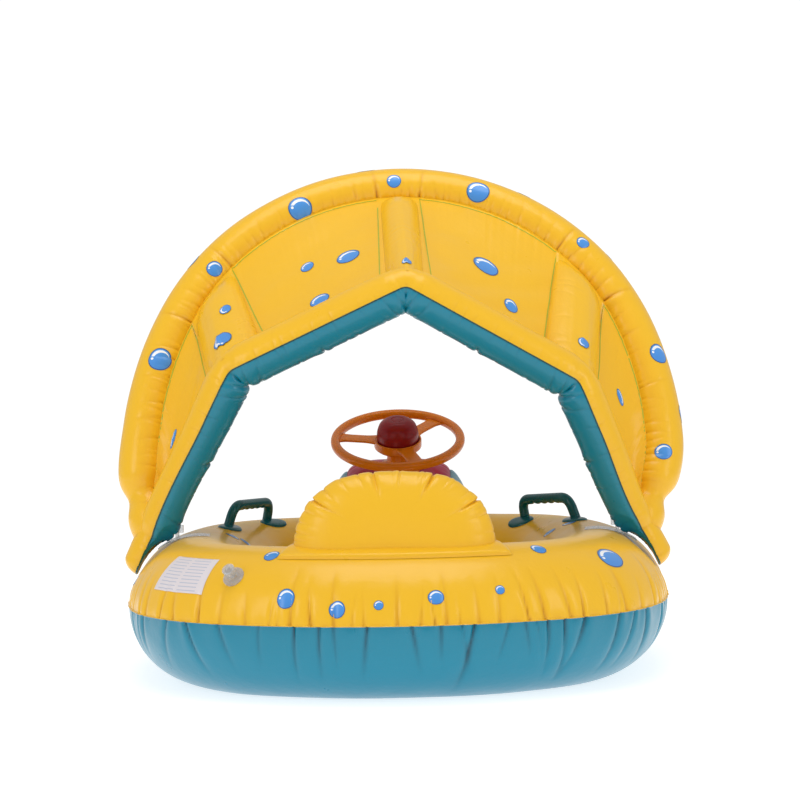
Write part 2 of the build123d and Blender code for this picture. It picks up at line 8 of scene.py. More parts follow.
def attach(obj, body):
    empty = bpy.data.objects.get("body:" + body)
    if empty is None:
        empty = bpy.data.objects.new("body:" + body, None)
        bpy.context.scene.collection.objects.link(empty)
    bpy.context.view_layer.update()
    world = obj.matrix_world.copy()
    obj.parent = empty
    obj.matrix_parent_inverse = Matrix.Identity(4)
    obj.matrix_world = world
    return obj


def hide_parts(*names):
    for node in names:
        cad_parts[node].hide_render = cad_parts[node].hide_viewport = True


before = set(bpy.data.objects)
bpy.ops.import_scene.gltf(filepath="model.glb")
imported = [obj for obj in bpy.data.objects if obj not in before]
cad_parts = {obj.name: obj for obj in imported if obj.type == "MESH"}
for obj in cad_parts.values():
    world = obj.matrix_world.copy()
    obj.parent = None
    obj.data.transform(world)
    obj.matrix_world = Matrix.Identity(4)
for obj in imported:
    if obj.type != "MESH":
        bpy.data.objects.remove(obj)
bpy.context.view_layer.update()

# Lengths are in millimetres and angles in degrees, turned into metres when a mesh is made.
# +X is the boat's right side, +Y is forward, +Z is up, as in the CAD model.

MM = 0.001
X_AXIS = np.array([1.0, 0.0, 0.0])
Y_AXIS = np.array([0.0, 1.0, 0.0])

# Hull
ring_half_width = 262.0
ring_half_length = 310.0
tube_radius = 88.0
side_bend = 620.0
end_bend = 330.0
corner_bend = 170.0
tube_centre_z = 86.5
seam_rise = 5.0
seam_lip = 2.2
seam_angle = degrees(asin(seam_rise / tube_radius))
ripple_waves = 7
dent_depth = 8.0  # where the canopy's feet press on the hull
print_lift = 0.35  # printed film above the film it lies on
panel_print_lift = 1.0  # more on the canopy's wavy sheets

# Canopy
canopy_foot_y = -60.0
canopy_foot_z = 158.0
canopy_skew = 2.7  # degrees, the soft frame sits a little askew
canopy_shift = 11.0  # and leans to the right above its feet
canopy_skew_z = 330.0
pivot_z = 183.0
tilt_range = (-10.0, 40.0)
arch_lean = 21.65
arch_radius = 31.0
arch_crown_bend = 330.0
arch_half_width = 341.0
arch_widest = 132.0
arch_rise = 516.0
arch_leg_bend = 220.0
arch_leg_turn = 33.0
arch_seam = 142.0
rim_lean = 11.86
rim_radius = 29.0
rim_points = [(338.0, -34.0), (312.0, 18.0), (217.0, 224.0), (0.0, 337.0)]
rim_seam = 80.0
rib_turn = {"left": 150.0, "centre": 93.0, "right": 40.0}  # degrees round the arch's crown
rib_half_width = {"left": 50.0, "centre": 29.0, "right": 50.0}
rib_half_height = 25.0
panel_on_rim = -62.0  # degrees round the rim where the panels are welded
panel_on_arch = 132.0
rib_on_arch = 146.0

# Cushions
backrest_y = -303.0
backrest_depth = 70.0
console_half_width = 113.0
console_band = 76.0
console_aft_y = 232.0
console_fore_y = 368.0

# Steering column
column_lean = radians(24.0)
column_base = np.array([0.0, 255.0, 246.0])
wheel_height = 45.0
wheel_radius = 91.0
spoke_turns = (50, 170, 290)

# Seat sling
leg_hole = (52.5, 67.5)
leg_spread = 75.0
leg_forward = 15.0
hem_width = 9.0
sling_z = 31.7
sling_weld_z = 32.0

# Grab handles
handle_turn = 18.6  # degrees round the bow's side arcs
handle_elevation = 105.0  # degrees round the tube
handle_half_span = 61.0

# Camera, in metres and degrees, and the brightness of the surroundings
camera_lens = 84.6
camera_shift = 0.0062
camera_distance = 2.5
camera_height = 0.345
camera_turn = -0.7
camera_roll = -1.1
light_around = 0.54
light_behind = 1.05  # what the camera sees past the floor


# ---- numbers


def smooth(x, low, high):
    """0 below low, 1 above high and a soft rise between."""
    t = np.clip((x - low) / (high - low), 0.0, 1.0)
    return t * t * (3 - 2 * t)


def circle(count):
    """Angles spaced evenly round a full turn."""
    return np.linspace(0, 2 * pi, count, endpoint=False)


def matched(a, b):
    """Both as arrays of one shape."""
    return np.broadcast_arrays(np.asarray(a, float), np.asarray(b, float))


def bell(x, width):
    return np.exp(-np.minimum((x / width) ** 2, 50))


def make_folds(seed, length, spacing, width, depth, reach, lean=0.12):
    """Folds at uneven places along a weld, as (place, width, depth, reach, lean)."""
    rng = np.random.default_rng(seed)
    rows = []
    place = spacing * rng.uniform(0.2, 0.9)
    while place < length:
        size = rng.uniform(0.35, 1.0)
        wide = width * rng.uniform(0.7, 1.3)
        far = reach * (0.5 + 0.6 * size) * rng.uniform(0.8, 1.15)
        rows.append((place, wide, depth * size, far, lean * rng.uniform(-1, 1)))
        place += spacing * rng.uniform(0.4, 1.6)
    return rows


def press(along, across, rows, loop=None):
    """How far the folds press the film in, at a distance along and away from the weld."""
    along, across = np.broadcast_arrays(along, across)
    depth = np.zeros(along.shape)
    for place, width, deep, reach, lean in rows:
        fade = np.clip(1 - across / reach, 0, 1) ** 1.2 * (across >= 0)
        off = along - place - lean * across
        if loop:
            off = (off + loop / 2) % loop - loop / 2
        wide = width * (0.8 + 1.4 * np.clip(across / reach, 0, 1))
        depth += deep * fade * (np.exp(-np.minimum(np.abs(off / wide), 50)) - 0.45 * bell(off, 3.6 * wide))
    return depth


def ripple(a, b, seed, scale):
    """A slow, uneven swell over a surface, from -1 to 1."""
    rng = np.random.default_rng(seed)
    total = 0
    for _ in range(ripple_waves):
        turn = rng.uniform(0, 2 * pi)
        pitch = scale * rng.uniform(0.6, 1.8)
        total = total + np.sin((a * cos(turn) + b * sin(turn)) * 2 * pi / pitch + rng.uniform(0, 6.3))
    return total / ripple_waves


# ---- lines and tubes


def arcs_line(arcs):
    """A line of tangent arcs: a function from distance to (point, outward), and arc starts."""
    centres = np.array([centre for centre, _, _, _ in arcs], float)
    radii = np.array([r for _, r, _, _ in arcs])
    turns = np.radians([start for _, _, start, _ in arcs])
    ends = np.cumsum([radians(sweep) * r for _, r, _, sweep in arcs])
    starts = np.concatenate([[0.0], ends[:-1]])

    def at(s):
        s = np.asarray(s, float)
        i = np.clip(np.searchsorted(ends, s, side="right"), 0, len(arcs) - 1)
        turn = turns[i] + (s - starts[i]) / radii[i]
        out = np.stack([np.cos(turn), np.sin(turn)], -1)
        return centres[i] + radii[i][..., None] * out, out

    return at, starts, ends[-1]


def bent_line(points, soften):
    """A line of straight runs with softened corners, and the distance of each corner."""
    points = np.array(points, float)
    steps = np.diff(points, axis=0)
    lengths = np.hypot(steps[:, 0], steps[:, 1])
    ways = steps / lengths[:, None]
    corners = np.concatenate([[0.0], np.cumsum(lengths)])

    def at(s):
        s = np.asarray(s, float)
        point = 0
        way = 0
        offsets = np.linspace(-soften, soften, 9)
        for offset in offsets:
            t = s + offset
            i = np.clip(np.searchsorted(corners, t, side="right") - 1, 0, len(ways) - 1)
            point = point + points[i] + (t - corners[i])[..., None] * ways[i]
            way = way + ways[i]
        way = way / np.linalg.norm(way, axis=-1, keepdims=True)
        return point / len(offsets), np.stack([way[..., 1], -way[..., 0]], -1)

    return at, corners


def tube(at, origin, x_axis, y_axis, radius_at, place=None):
    """A tube's surface as a function of (distance, angle round it, lift)."""
    z_axis = np.cross(x_axis, y_axis)

    def surface(s, turn, lift=0.0):
        s, turn = matched(s, turn)
        point, out = at(s)
        r = radius_at(s, turn) + lift
        t = np.radians(turn)
        flat = point + (r * np.cos(t))[..., None] * out
        rise = r * np.sin(t)
        found = origin + flat[..., :1] * x_axis + flat[..., 1:] * y_axis + rise[..., None] * z_axis
        return place(found) if place else found

    return surface


def circle_crossing(first, first_radius, second, second_radius):
    dx, dy = second[0] - first[0], second[1] - first[1]
    gap = hypot(dx, dy)
    along = (gap**2 + first_radius**2 - second_radius**2) / (2 * gap)
    aside = sqrt(first_radius**2 - along**2)
    mid = (first[0] + along * dx / gap, first[1] + along * dy / gap)
    step = (-aside * dy / gap, aside * dx / gap)
    if step[1] < 0:
        step = (-step[0], -step[1])
    return mid[0] + step[0], mid[1] + step[1]


# ---- meshes


def add_mesh(name, verts, faces, uv=None, tone=None):
    """A smooth mesh object from points in millimetres; a per-vertex value paints shade into its folds."""
    mesh = bpy.data.meshes.new(name)
    mesh.from_pydata((np.asarray(verts) * MM).tolist(), [], [list(map(int, f)) for f in faces])
    mesh.update()
    for polygon in mesh.polygons:
        polygon.use_smooth = True
    if uv is not None:
        layer = mesh.uv_layers.new(name="UVMap")
        index = np.zeros(len(mesh.loops), int)
        mesh.loops.foreach_get("vertex_index", index)
        layer.data.foreach_set("uv", np.asarray(uv, float)[index].ravel())
    if tone is not None:
        layer = mesh.attributes.new("tone", "FLOAT", "POINT")
        layer.data.foreach_set("value", np.asarray(tone, float).ravel())
    obj = bpy.data.objects.new(name, mesh)
    bpy.context.scene.collection.objects.link(obj)
    return obj


def grid_faces(rows, columns, wrap_rows=False, wrap_columns=False):
    i = np.arange(rows if wrap_rows else rows - 1)
    j = np.arange(columns if wrap_columns else columns - 1)
    i, j = np.meshgrid(i, j, indexing="ij")
    a = i * columns + j
    b = i * columns + (j + 1) % columns
    c = ((i + 1) % rows) * columns + (j + 1) % columns
    d = ((i + 1) % rows) * columns + j
    return np.stack([a.ravel(), b.ravel(), c.ravel(), d.ravel()], -1)


def piece(name, body, slot, verts, faces, look=None, uv=None, tone=None, thick=0.0):
    """One piece on its body; it stands for the CAD node of its name, if there is one."""
    obj = add_mesh(name, verts, faces, uv, tone)
    obj.data.materials.append(look or materials[slot])
    if thick:
        solid = obj.modifiers.new("film", "SOLIDIFY")
        solid.thickness = thick * MM
        solid.offset = 0
    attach(obj, body)
    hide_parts(*([name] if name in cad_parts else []))
    return obj


def grid_piece(name, body, slot, grid, flip=False, wrap=(False, False), **more):
    rows, columns = grid.shape[:2]
    faces = grid_faces(rows, columns, *wrap)
    if flip:
        faces = faces[:, ::-1]
    return piece(name, body, slot, grid.reshape(-1, 3), faces, **more)


def joined(parts):
    """Several (points, faces) as one."""
    verts, faces, base = [], [], 0
    for points, polygons in parts:
        verts.append(points)
        faces.extend([[base + k for k in polygon] for polygon in polygons])
        base += len(points)
    return np.concatenate(verts), faces


def lathe(profile, steps=72):
    """Points and faces of a profile of (radius, height) turned about the column's axis."""
    turns = circle(steps)
    r = np.array([p[0] for p in profile])[:, None]
    z = np.array([p[1] for p in profile])[:, None] + 0 * turns
    grid = np.stack([r * np.cos(turns), r * np.sin(turns), z], -1)
    return grid.reshape(-1, 3), grid_faces(len(profile), steps, False, True)[:, ::-1]


def resampled(points, count):
    """A line through the points, evenly spaced, and the distances along it."""
    points = np.array(points, float)
    steps = np.linalg.norm(np.diff(points, axis=0), axis=1)
    at = np.concatenate([[0.0], np.cumsum(steps)])
    s = np.linspace(0, at[-1], count)
    return np.stack([np.interp(s, at, column) for column in points.T], -1), s


def rounded(points, radius, steps=5):
    """A polyline's corners cut to arcs."""
    points = [np.array(p, float) for p in points]
    result = [points[0]]
    for before, corner, after in zip(points, points[1:], points[2:]):
        a = before - corner
        b = after - corner
        reach = min(radius, np.linalg.norm(a) / 2, np.linalg.norm(b) / 2)
        first = corner + a / np.linalg.norm(a) * reach
        last = corner + b / np.linalg.norm(b) * reach
        for k in range(steps + 1):
            t = k / steps
            result.append((1 - t) ** 2 * first + 2 * t * (1 - t) * corner + t**2 * last)
    result.append(points[-1])
    return result


def sweep_tube(path, wide, tall, up, sides):
    """A closed tube along 3-D points, of two radii; up is the way of the second."""
    path = np.array(path, float)
    way = np.gradient(path, axis=0)
    way /= np.linalg.norm(way, axis=1, keepdims=True)
    rings = []
    for point, forward in zip(path, way):
        side = np.cross(forward, up)
        side /= np.linalg.norm(side)
        top = np.cross(side, forward)
        t = circle(sides)
        rings.append(point + wide * np.cos(t)[:, None] * side + tall * np.sin(t)[:, None] * top)
    verts = np.concatenate(rings + [path[:1], path[-1:]])
    faces = grid_faces(len(path), sides, False, True).tolist()
    first, last = len(verts) - 2, len(verts) - 1
    base = (len(path) - 1) * sides
    for k in range(sides):
        faces.append([first, k, (k + 1) % sides])
        faces.append([last, base + (k + 1) % sides, base + k])
    return verts, faces


# ---- materials


class Shading:
    """A material and short ways to add to its nodes."""

    def __init__(self, name, values):
        self.material = bpy.data.materials.new(name)
        self.material.use_nodes = True
        self.nodes = self.material.node_tree.nodes
        self.links = self.material.node_tree.links
        self.shader = self.nodes["Principled BSDF"]
        for socket, value in values.items():
            self.set(socket, value)

    def connect(self, value, socket):
        """A number or colour is set on the socket itself, and an output is linked to it."""
        if isinstance(value, tuple):
            socket.default_value = (*value, 1)
        elif isinstance(value, (int, float)):
            socket.default_value = value
        else:
            self.links.new(value, socket)

    def set(self, socket, value):
        self.connect(value, self.shader.inputs[socket])

    def math(self, kind, *values):
        node = self.nodes.new("ShaderNodeMath")
        node.operation = kind
        for value, socket in zip(values, node.inputs):
            self.connect(value, socket)
        return node.outputs[0]

    def mix(self, factor, first, second):
        node = self.nodes.new("ShaderNodeMix")
        node.data_type = "RGBA"
        for value, index in ((first, 6), (second, 7), (factor, 0)):
            self.connect(value, node.inputs[index])
        return node.outputs[2]

    def noise(self, scale):
        place = self.nodes.new("ShaderNodeTexCoord")
        node = self.nodes.new("ShaderNodeTexNoise")
        node.inputs["Scale"].default_value = scale
        node.inputs["Detail"].default_value = 3.0
        self.links.new(place.outputs["Object"], node.inputs["Vector"])
        return node.outputs["Fac"]

    def uv(self):
        """The two directions of the mesh's own UV map."""
        place = self.nodes.new("ShaderNodeUVMap")
        place.uv_map = "UVMap"
        split = self.nodes.new("ShaderNodeSeparateXYZ")
        self.links.new(place.outputs[0], split.inputs[0])
        return split.outputs[0], split.outputs[1]

    def bumped(self, *layers):
        """The material with (scale, depth in mm) layers of bump, one on another."""
        last = None
        for scale, height in layers:
            grain = self.noise(scale)
            bump = self.nodes.new("ShaderNodeBump")
            bump.inputs["Strength"].default_value = 1.0
            bump.inputs["Distance"].default_value = height * MM
            self.links.new(grain, bump.inputs["Height"])
            if last:
                self.links.new(last, bump.inputs["Normal"])
            last = bump.outputs["Normal"]
        self.set("Normal", last)
        return self.material


def film_material(name, colour, shade, roughness=0.3, coat=0.14):
    """Glossy PVC film: colour drifts slightly, painted shade darkens the folds, and a fine orange peel."""
    film = Shading(name, {"Coat Weight": coat, "Coat Roughness": 0.14, "Specular IOR Level": 0.32})
    soft = tuple(0.93 * a + 0.07 * b for a, b in zip(colour, shade))
    base = film.mix(film.noise(9.0), soft, colour)
    # Painted shade: the colour goes towards the shade colour where the mesh's per-vertex value says a fold
    # presses in.
    fold = film.nodes.new("ShaderNodeAttribute")
    fold.attribute_name = "tone"
    film.set("Base Color", film.mix(fold.outputs["Fac"], base, shade))
    film.set("Roughness", film.math("MULTIPLY_ADD", film.noise(26.0), 0.14, roughness - 0.07))
    return film.bumped((38.0, 0.9), (260.0, 0.08), (1500.0, 0.012))


def plastic_material(name, colour, shade, roughness=0.3, coat=0.2, metallic=0.0):
    """Moulded plastic, rubber or plated steel with faint flow marks and fine grain."""
    values = {"Coat Weight": coat, "Coat Roughness": 0.1, "Specular IOR Level": 0.22, "Metallic": metallic}
    plastic = Shading(name, values)
    drift = plastic.noise(22.0)
    plastic.set("Base Color", plastic.mix(plastic.math("MULTIPLY", drift, 0.45), colour, shade))
    plastic.set("Roughness", plastic.math("MULTIPLY_ADD", drift, 0.12, roughness - 0.06))
    return plastic.bumped((60.0, 0.12), (1800.0, 0.02))


def clear_material(name):
    """Clear soft PVC: see-through, slightly smoky, with flow lines."""
    values = {"Roughness": 0.12, "Transmission Weight": 0.55, "IOR": 1.45, "Alpha": 0.62, "Coat Weight": 0.5}
    clear = Shading(name, values)
    clear.set("Base Color", clear.mix(clear.noise(45.0), (0.80, 0.82, 0.84), (0.62, 0.64, 0.68)))
    return clear.bumped((120.0, 0.2), (900.0, 0.03))


def bubble_material():
    """A printed water bubble: dark edge, blue body, white crescent and dot, by its own UV."""
    paint = Shading("bubble_print", {"Roughness": 0.3, "Coat Weight": 0.25, "Coat Roughness": 0.16})
    u, v = paint.uv()

    def disc(kind, x, y, radius):
        dx = paint.math("SUBTRACT", u, x)
        dy = paint.math("SUBTRACT", v, y)
        square = paint.math("ADD", paint.math("MULTIPLY", dx, dx), paint.math("MULTIPLY", dy, dy))
        return paint.math(kind, paint.math("SQRT", square), radius)

    down = paint.math("MULTIPLY_ADD", v, -0.4, 0.5)
    colour = paint.mix(down, (0.075, 0.335, 0.83), (0.05, 0.24, 0.66))
    colour = paint.mix(disc("GREATER_THAN", 0.0, 0.0, 0.91), colour, (0.02, 0.10, 0.30))
    ring = disc("LESS_THAN", 0.0, 0.0, 0.80), disc("GREATER_THAN", 0.13, -0.16, 0.76)
    crescent = paint.math("MULTIPLY", paint.math("MULTIPLY", *ring), paint.math("GREATER_THAN", v, 0.22))
    colour = paint.mix(crescent, colour, (0.93, 0.95, 0.97))
    paint.set("Base Color", paint.mix(disc("LESS_THAN", -0.66, 0.02, 0.115), colour, (0.95, 0.96, 0.97)))
    return paint.material


def label_material():
    """A blank care label: off-white film with plain ruled bars and no lettering."""
    paper = Shading("label_film", {"Roughness": 0.35, "Coat Weight": 0.2})
    u, v = paper.uv()
    rows = paper.math("GREATER_THAN", paper.math("SINE", paper.math("MULTIPLY", v, 34.0)), 0.72)
    span = paper.math("ABSOLUTE", u)
    rows = paper.math("MULTIPLY", rows, paper.math("LESS_THAN", span, 0.78))
    rows = paper.math("MULTIPLY", rows, paper.math("GREATER_THAN", span, 0.07))
    paper.set("Base Color", paper.mix(rows, (0.76, 0.70, 0.72), (0.50, 0.52, 0.62)))
    return paper.material


materials = {
    "yellow_pvc": film_material("yellow_film", (0.905, 0.515, 0.018), (0.60, 0.235, 0.002)),
    "teal_pvc": film_material("teal_film", (0.003, 0.23, 0.35), (0.001, 0.045, 0.075), coat=0.3),
    "seat_pvc": film_material("seat_film", (0.84, 0.50, 0.03), (0.55, 0.26, 0.01), roughness=0.4),
    "console_teal_pvc": film_material("console_teal_film", (0.17, 0.35, 0.44), (0.01, 0.09, 0.13)),
    "console_pink_pvc": film_material("console_pink_film", (0.42, 0.018, 0.065), (0.13, 0.004, 0.018)),
    "orange_plastic": plastic_material(
        "orange_plastic", (0.80, 0.215, 0.004), (0.50, 0.11, 0.002), 0.26, 0.15
    ),
    "red_rubber": plastic_material("red_rubber", (0.30, 0.006, 0.010), (0.13, 0.002, 0.004), 0.36, 0.1),
    "handle_plastic": plastic_material(
        "handle_plastic", (0.004, 0.115, 0.130), (0.002, 0.05, 0.06), 0.28, 0.25
    ),
    "white_plastic": plastic_material("white_plastic", (0.75, 0.75, 0.73), (0.62, 0.62, 0.6), 0.35),
    "steel": plastic_material("zinc_steel", (0.55, 0.55, 0.56), (0.4, 0.4, 0.42), 0.3, 0.0, 1.0),
    "clear_pvc": clear_material("clear_pvc"),
    "label_film": label_material(),
}
bubble_print = bubble_material()
weld_green = film_material("weld_line", (0.40, 0.47, 0.03), (0.20, 0.26, 0.02), coat=0.1)
dark_weld = film_material("dark_weld", (0.012, 0.075, 0.075), (0.004, 0.03, 0.03), coat=0.1)


# ---- hull


def hull_plan():
    side = (ring_half_width - side_bend, 0.0)
    end = (0.0, ring_half_length - end_bend)
    corner = circle_crossing(side, side_bend - corner_bend, end, end_bend - corner_bend)
    a = degrees(atan2(corner[1] - side[1], corner[0] - side[0]))
    b = degrees(atan2(corner[1] - end[1], corner[0] - end[0]))
    return [
        (side, side_bend, -a, 2 * a),
        (corner, corner_bend, a, b - a),
        (end, end_bend, b, 180 - 2 * b),
        ((-corner[0], corner[1]), corner_bend, 180 - b, b - a),
        ((-side[0], 0.0), side_bend, 180 - a, 2 * a),
        ((-corner[0], -corner[1]), corner_bend, 180 + a, b - a),
        ((0.0, -end[1]), end_bend, 180 + b, 180 - 2 * b),
        ((corner[0], -corner[1]), corner_bend, 360 - b, b - a),
    ]


hull_arcs = hull_plan()
hull_at, hull_starts, hull_length = arcs_line(hull_arcs)


def hull_place(arc, turn):
    """Distance along the hull's plan of an angle on one of its arcs."""
    _, r, start, _ = hull_arcs[arc]
    return hull_starts[arc] + radians(turn - start) * r


right_arc, bow_right, bow, bow_left, left_arc, stern_left, stern, stern_right = range(8)
hull_folds = {
    "top_out": make_folds(3, hull_length, 19.0, 2.6, 7.0, 72.0),
    "top_in": make_folds(4, hull_length, 17.0, 2.4, 4.6, 52.0),
    "low_out": make_folds(5, hull_length, 27.0, 2.6, 9.0, 84.0, 0.25),
    "low_in": make_folds(6, hull_length, 20.0, 2.4, 4.6, 48.0),
}
foot_turn = degrees(asin(-canopy_foot_y / side_bend))
foot_places = (hull_place(right_arc, -foot_turn), hull_place(left_arc, 180 + foot_turn))


def hull_press(s, turn):
    """Folds of the hull's film: four rows, one on each side of the two welds."""
    s, turn = matched(s, turn)
    reach = radians(1) * tube_radius
    turn = (turn + 90) % 360 - 90
    outer = turn - seam_angle
    inner = 180 - seam_angle - turn
    total = press(s, np.where(outer > 0, outer, -1) * reach, hull_folds["top_out"], hull_length)
    total = total + press(s, np.where(inner > 0, inner, -1) * reach, hull_folds["top_in"], hull_length)
    low = np.where(outer <= 0, -outer, -1) * reach
    total = total + press(s, low, hull_folds["low_out"], hull_length)
    low = np.where(inner <= 0, -inner, -1) * reach
    return total + press(s, low, hull_folds["low_in"], hull_length)


def hull_radius(s, turn):
    turn = (np.asarray(turn) + 90) % 360 - 90
    dent = 0
    for place in foot_places:
        off = (s - place + hull_length / 2) % hull_length - hull_length / 2
        dent = dent + dent_depth * bell(off, 46.0) * bell(turn - 44, 21.0)
    swell = 0.7 * ripple(s, turn * 1.5, 11, scale=170.0)
    return tube_radius - hull_press(s, turn) - dent + swell


def on_floor(points):
    """The film lies flat on the floor."""
    points = points.copy()
    points[..., 2] = np.maximum(points[..., 2], 0.15)
    return points


hull = tube(
    lambda s: hull_at(np.asarray(s) % hull_length),
    np.array([0.0, 0.0, tube_centre_z]),
    X_AXIS,
    Y_AXIS,
    hull_radius,
    on_floor,
)


def hull_skin(name, low, high, slot):
    """One sheet of the hull, with the flat lip where it is welded on both edges."""
    s = np.linspace(0, hull_length, 1150, endpoint=False)[:, None]
    edge = 1.2
    turns = np.concatenate([np.linspace(low, low + edge, 3)[:-1], np.linspace(low + edge, high - edge, 76)])
    turns = np.concatenate([turns, np.linspace(high - edge, high, 3)[1:]])
    lift = seam_lip * (np.isclose(turns, low) | np.isclose(turns, high))
    grid = hull(s, turns[None, :], lift[None, :])
    # Painted shade: the film is darker where the folds press it in.
    tone = np.clip(hull_press(s, turns[None, :]) * 0.28, 0, 0.85)
    return grid_piece(name, "boat", slot, grid, wrap=(True, False), tone=tone)


hull_skin("hull_top_skin", seam_angle, 180 - seam_angle, "yellow_pvc")
hull_skin("hull_bottom_skin", 180 - seam_angle, 360 + seam_angle, "teal_pvc")


def band_on(surface, name, path, width, slot, look, lift):
    """A thin strip on the canopy that follows a surface along (first, second) places."""
    first = np.array([p[0] for p in path], float)[:, None]
    second = np.array([p[1] for p in path], float)[:, None]
    points = surface(first, second, lift)[:, 0]
    ahead = surface(first + 0.5, second, lift)[:, 0] - points
    aside = surface(first, second + 0.5, lift)[:, 0] - points
    up = np.cross(ahead, aside)
    way = np.gradient(points, axis=0)
    side = np.cross(up, way)
    side /= np.linalg.norm(side, axis=1, keepdims=True)
    grid = np.stack([points - side * width / 2, points + side * width / 2], 1)
    return grid_piece(name, "canopy", slot, grid, look=look)


def patch_on(name, slot, arc, turns, elevations, lift, thickness, margin, steps):
    """A sheet with rounded edges, welded on the hull between two turns and two elevations."""
    first = hull_place(arc, turns[0]), hull_place(arc, turns[1])
    a = np.linspace(0, 1, steps[0])[:, None]
    b = np.linspace(0, 1, steps[1])[None, :]
    width = abs(first[1] - first[0])
    edge = np.minimum(np.minimum(a, 1 - a) * width / margin, 1)
    edge = edge * np.minimum(np.minimum(b, 1 - b) * steps[1] / 3, 1)
    height = lift + thickness * np.sqrt(np.clip(1 - (1 - edge) ** 2, 0, 1))
    low, high = elevations
    grid = hull(first[0] + a * (first[1] - first[0]), low + b * (high - low), height)
    uv = np.stack(np.broadcast_arrays(2 * a - 1, 2 * b - 1), -1).reshape(-1, 2)
    return grid_piece(name, "boat", slot, grid, uv=uv if slot == "label_film" else None)


# ---- printed bubbles


def bubbles(name, body, surface, places, mirror=1, lift=print_lift):
    """Ellipses printed on a surface: (first, second, half sizes, turn), in its own units."""
    rho = np.linspace(0.02, 1, 9)[:, None]
    phi = circle(40)[None, :]
    x, y = rho * np.cos(phi), rho * np.sin(phi)
    middle = [list(range(39, -1, -1))]
    parts, uvs = [], []
    for first, second, half_first, half_second, turn in places:
        c, s = cos(radians(turn)), sin(radians(turn))
        grid = surface(first + half_first * x, second + half_second * y, lift)
        parts.append((grid.reshape(-1, 3), grid_faces(9, 40, False, True).tolist() + middle))
        uvs.append(np.stack([mirror * (c * x - s * y), s * x + c * y], -1).reshape(-1, 2))
    verts, faces = joined(parts)
    return piece(name, body, "label_film", verts, faces, look=bubble_print, uv=np.concatenate(uvs))


# Arc, angle on it, elevation, then half widths in millimetres along and around the tube.
hull_bubbles = [
    (stern, 252.5, 24, 8.5, 12),
    (stern, 261.0, 16, 7.5, 10),
    (stern, 267.5, 19, 4.5, 5.5),
    (stern, 276.5, 24, 7.5, 8.5),
    (stern, 287.0, 28, 4.5, 5.5),
    (stern, 247.0, 66, 8, 11),
    (stern, 297.5, 68, 8, 11),
    (stern_right, 322.5, 49, 16, 16),
    (left_arc, 177.0, 116, 10, 10),
    (left_arc, 175.5, 128, 10, 10),
    (right_arc, 7.5, 105, 10, 10),
    (right_arc, 8.0, 124, 10, 10),
    (right_arc, -5.0, 60, 9, 11),
    (right_arc, 6.0, 30, 12, 13),
    (right_arc, 12.0, 66, 7, 7),
    (bow_right, 40.0, 36, 11, 12),
    (bow_right, 52.0, 64, 8, 9),
    (bow, 74.0, 24, 9, 10),
    (bow, 90.0, 18, 12, 13),
    (bow, 104.0, 30, 7, 8),
    (bow_left, 132.0, 50, 10, 11),
    (bow_left, 146.0, 26, 8, 8),
    (left_arc, 173.0, 34, 12, 12),
    (left_arc, 180.0, 62, 8, 9),
    (left_arc, 187.0, 24, 9, 10),
]
hull_spots = [
    (hull_place(arc, turn), elevation, along, degrees(around / tube_radius), 0)
    for arc, turn, elevation, along, around in hull_bubbles
]
bubbles("hull_bubbles", "boat", hull, hull_spots)

# ---- label and patches

patch_on("label_patch", "label_film", stern_left, (211, 233), (25, 58), 0.3, 0.3, 2.0, (60, 40))
patch_on("backrest_base_patch", "yellow_pvc", stern, (248.5, 291.5), (61, 132), 0.4, 5.0, 9.0, (160, 90))
patch_on("console_base_patch", "console_teal_pvc", bow, (68, 112), (40, 150), 0.4, 1.6, 6.0, (140, 70))

# ---- seat sling


def sling_depth(x, y):
    """The stretched sheet sags between the holes and is held up at its weld and hems."""
    sag = 4.0 * np.clip(1 - (x / 170) ** 2, 0, 1) * np.clip(1 - (y / 220) ** 2, 0, 1)
    return sling_z - sag + 0.4 * ripple(x, y, 21, scale=70.0)


def seat_sling():
    """A sheet with two leg holes, made from rings that run from each hole to the weld."""
    s = np.linspace(0, hull_length, 480, endpoint=False)
    reach = sqrt(tube_radius**2 - (tube_centre_z - sling_weld_z) ** 2)
    centre, out = hull_at(s)
    rim = centre - out * reach
    parts = []
    for way in (-1, 1):
        own = rim[:, 0] * way >= 0
        edge = np.where(own[:, None], rim, np.stack([0 * s, rim[:, 1]], -1))
        phi = np.arctan2(edge[:, 1] - leg_forward, (edge[:, 0] - way * leg_spread))
        order = np.argsort(phi)
        edge, phi = edge[order], phi[order]
        a, b = leg_hole
        radius = a * b / np.hypot(b * np.cos(phi), a * np.sin(phi))
        hole = np.stack([way * leg_spread + radius * np.cos(phi), leg_forward + radius * np.sin(phi)], -1)
        t = np.linspace(0, 1, 26)[:, None, None]
        grid = hole * (1 - t) + edge * t
        z = sling_depth(grid[..., 0], grid[..., 1])
        full = np.concatenate([grid, z[..., None]], -1)
        parts.append((full.reshape(-1, 3), grid_faces(26, len(s), False, True)[:, ::-1]))
    return joined(parts)


sling = piece("seat_sling", "boat", "seat_pvc", *seat_sling(), thick=0.5)


def leg_hole_hems():
    """A rolled hem round each hole, welded on the sheet."""
    parts = []
    for way in (-1, 1):
        phi = circle(96)[None, :]
        t = np.linspace(0, 1, 9)[:, None]
        x = way * leg_spread + (leg_hole[0] + hem_width * t) * np.cos(phi)
        y = leg_forward + (leg_hole[1] + hem_width * t) * np.sin(phi)
        z = sling_depth(x, y) + 0.4 + 1.6 * np.sqrt(np.clip(1 - (2 * t - 1) ** 2, 0, 1))
        grid = np.stack(np.broadcast_arrays(x, y, z), -1)
        parts.append((grid.reshape(-1, 3), grid_faces(9, 96, False, True)))
    return joined(parts)


hems = piece("leg_hole_hems", "boat", "seat_pvc", *leg_hole_hems())

# ---- canopy tubes


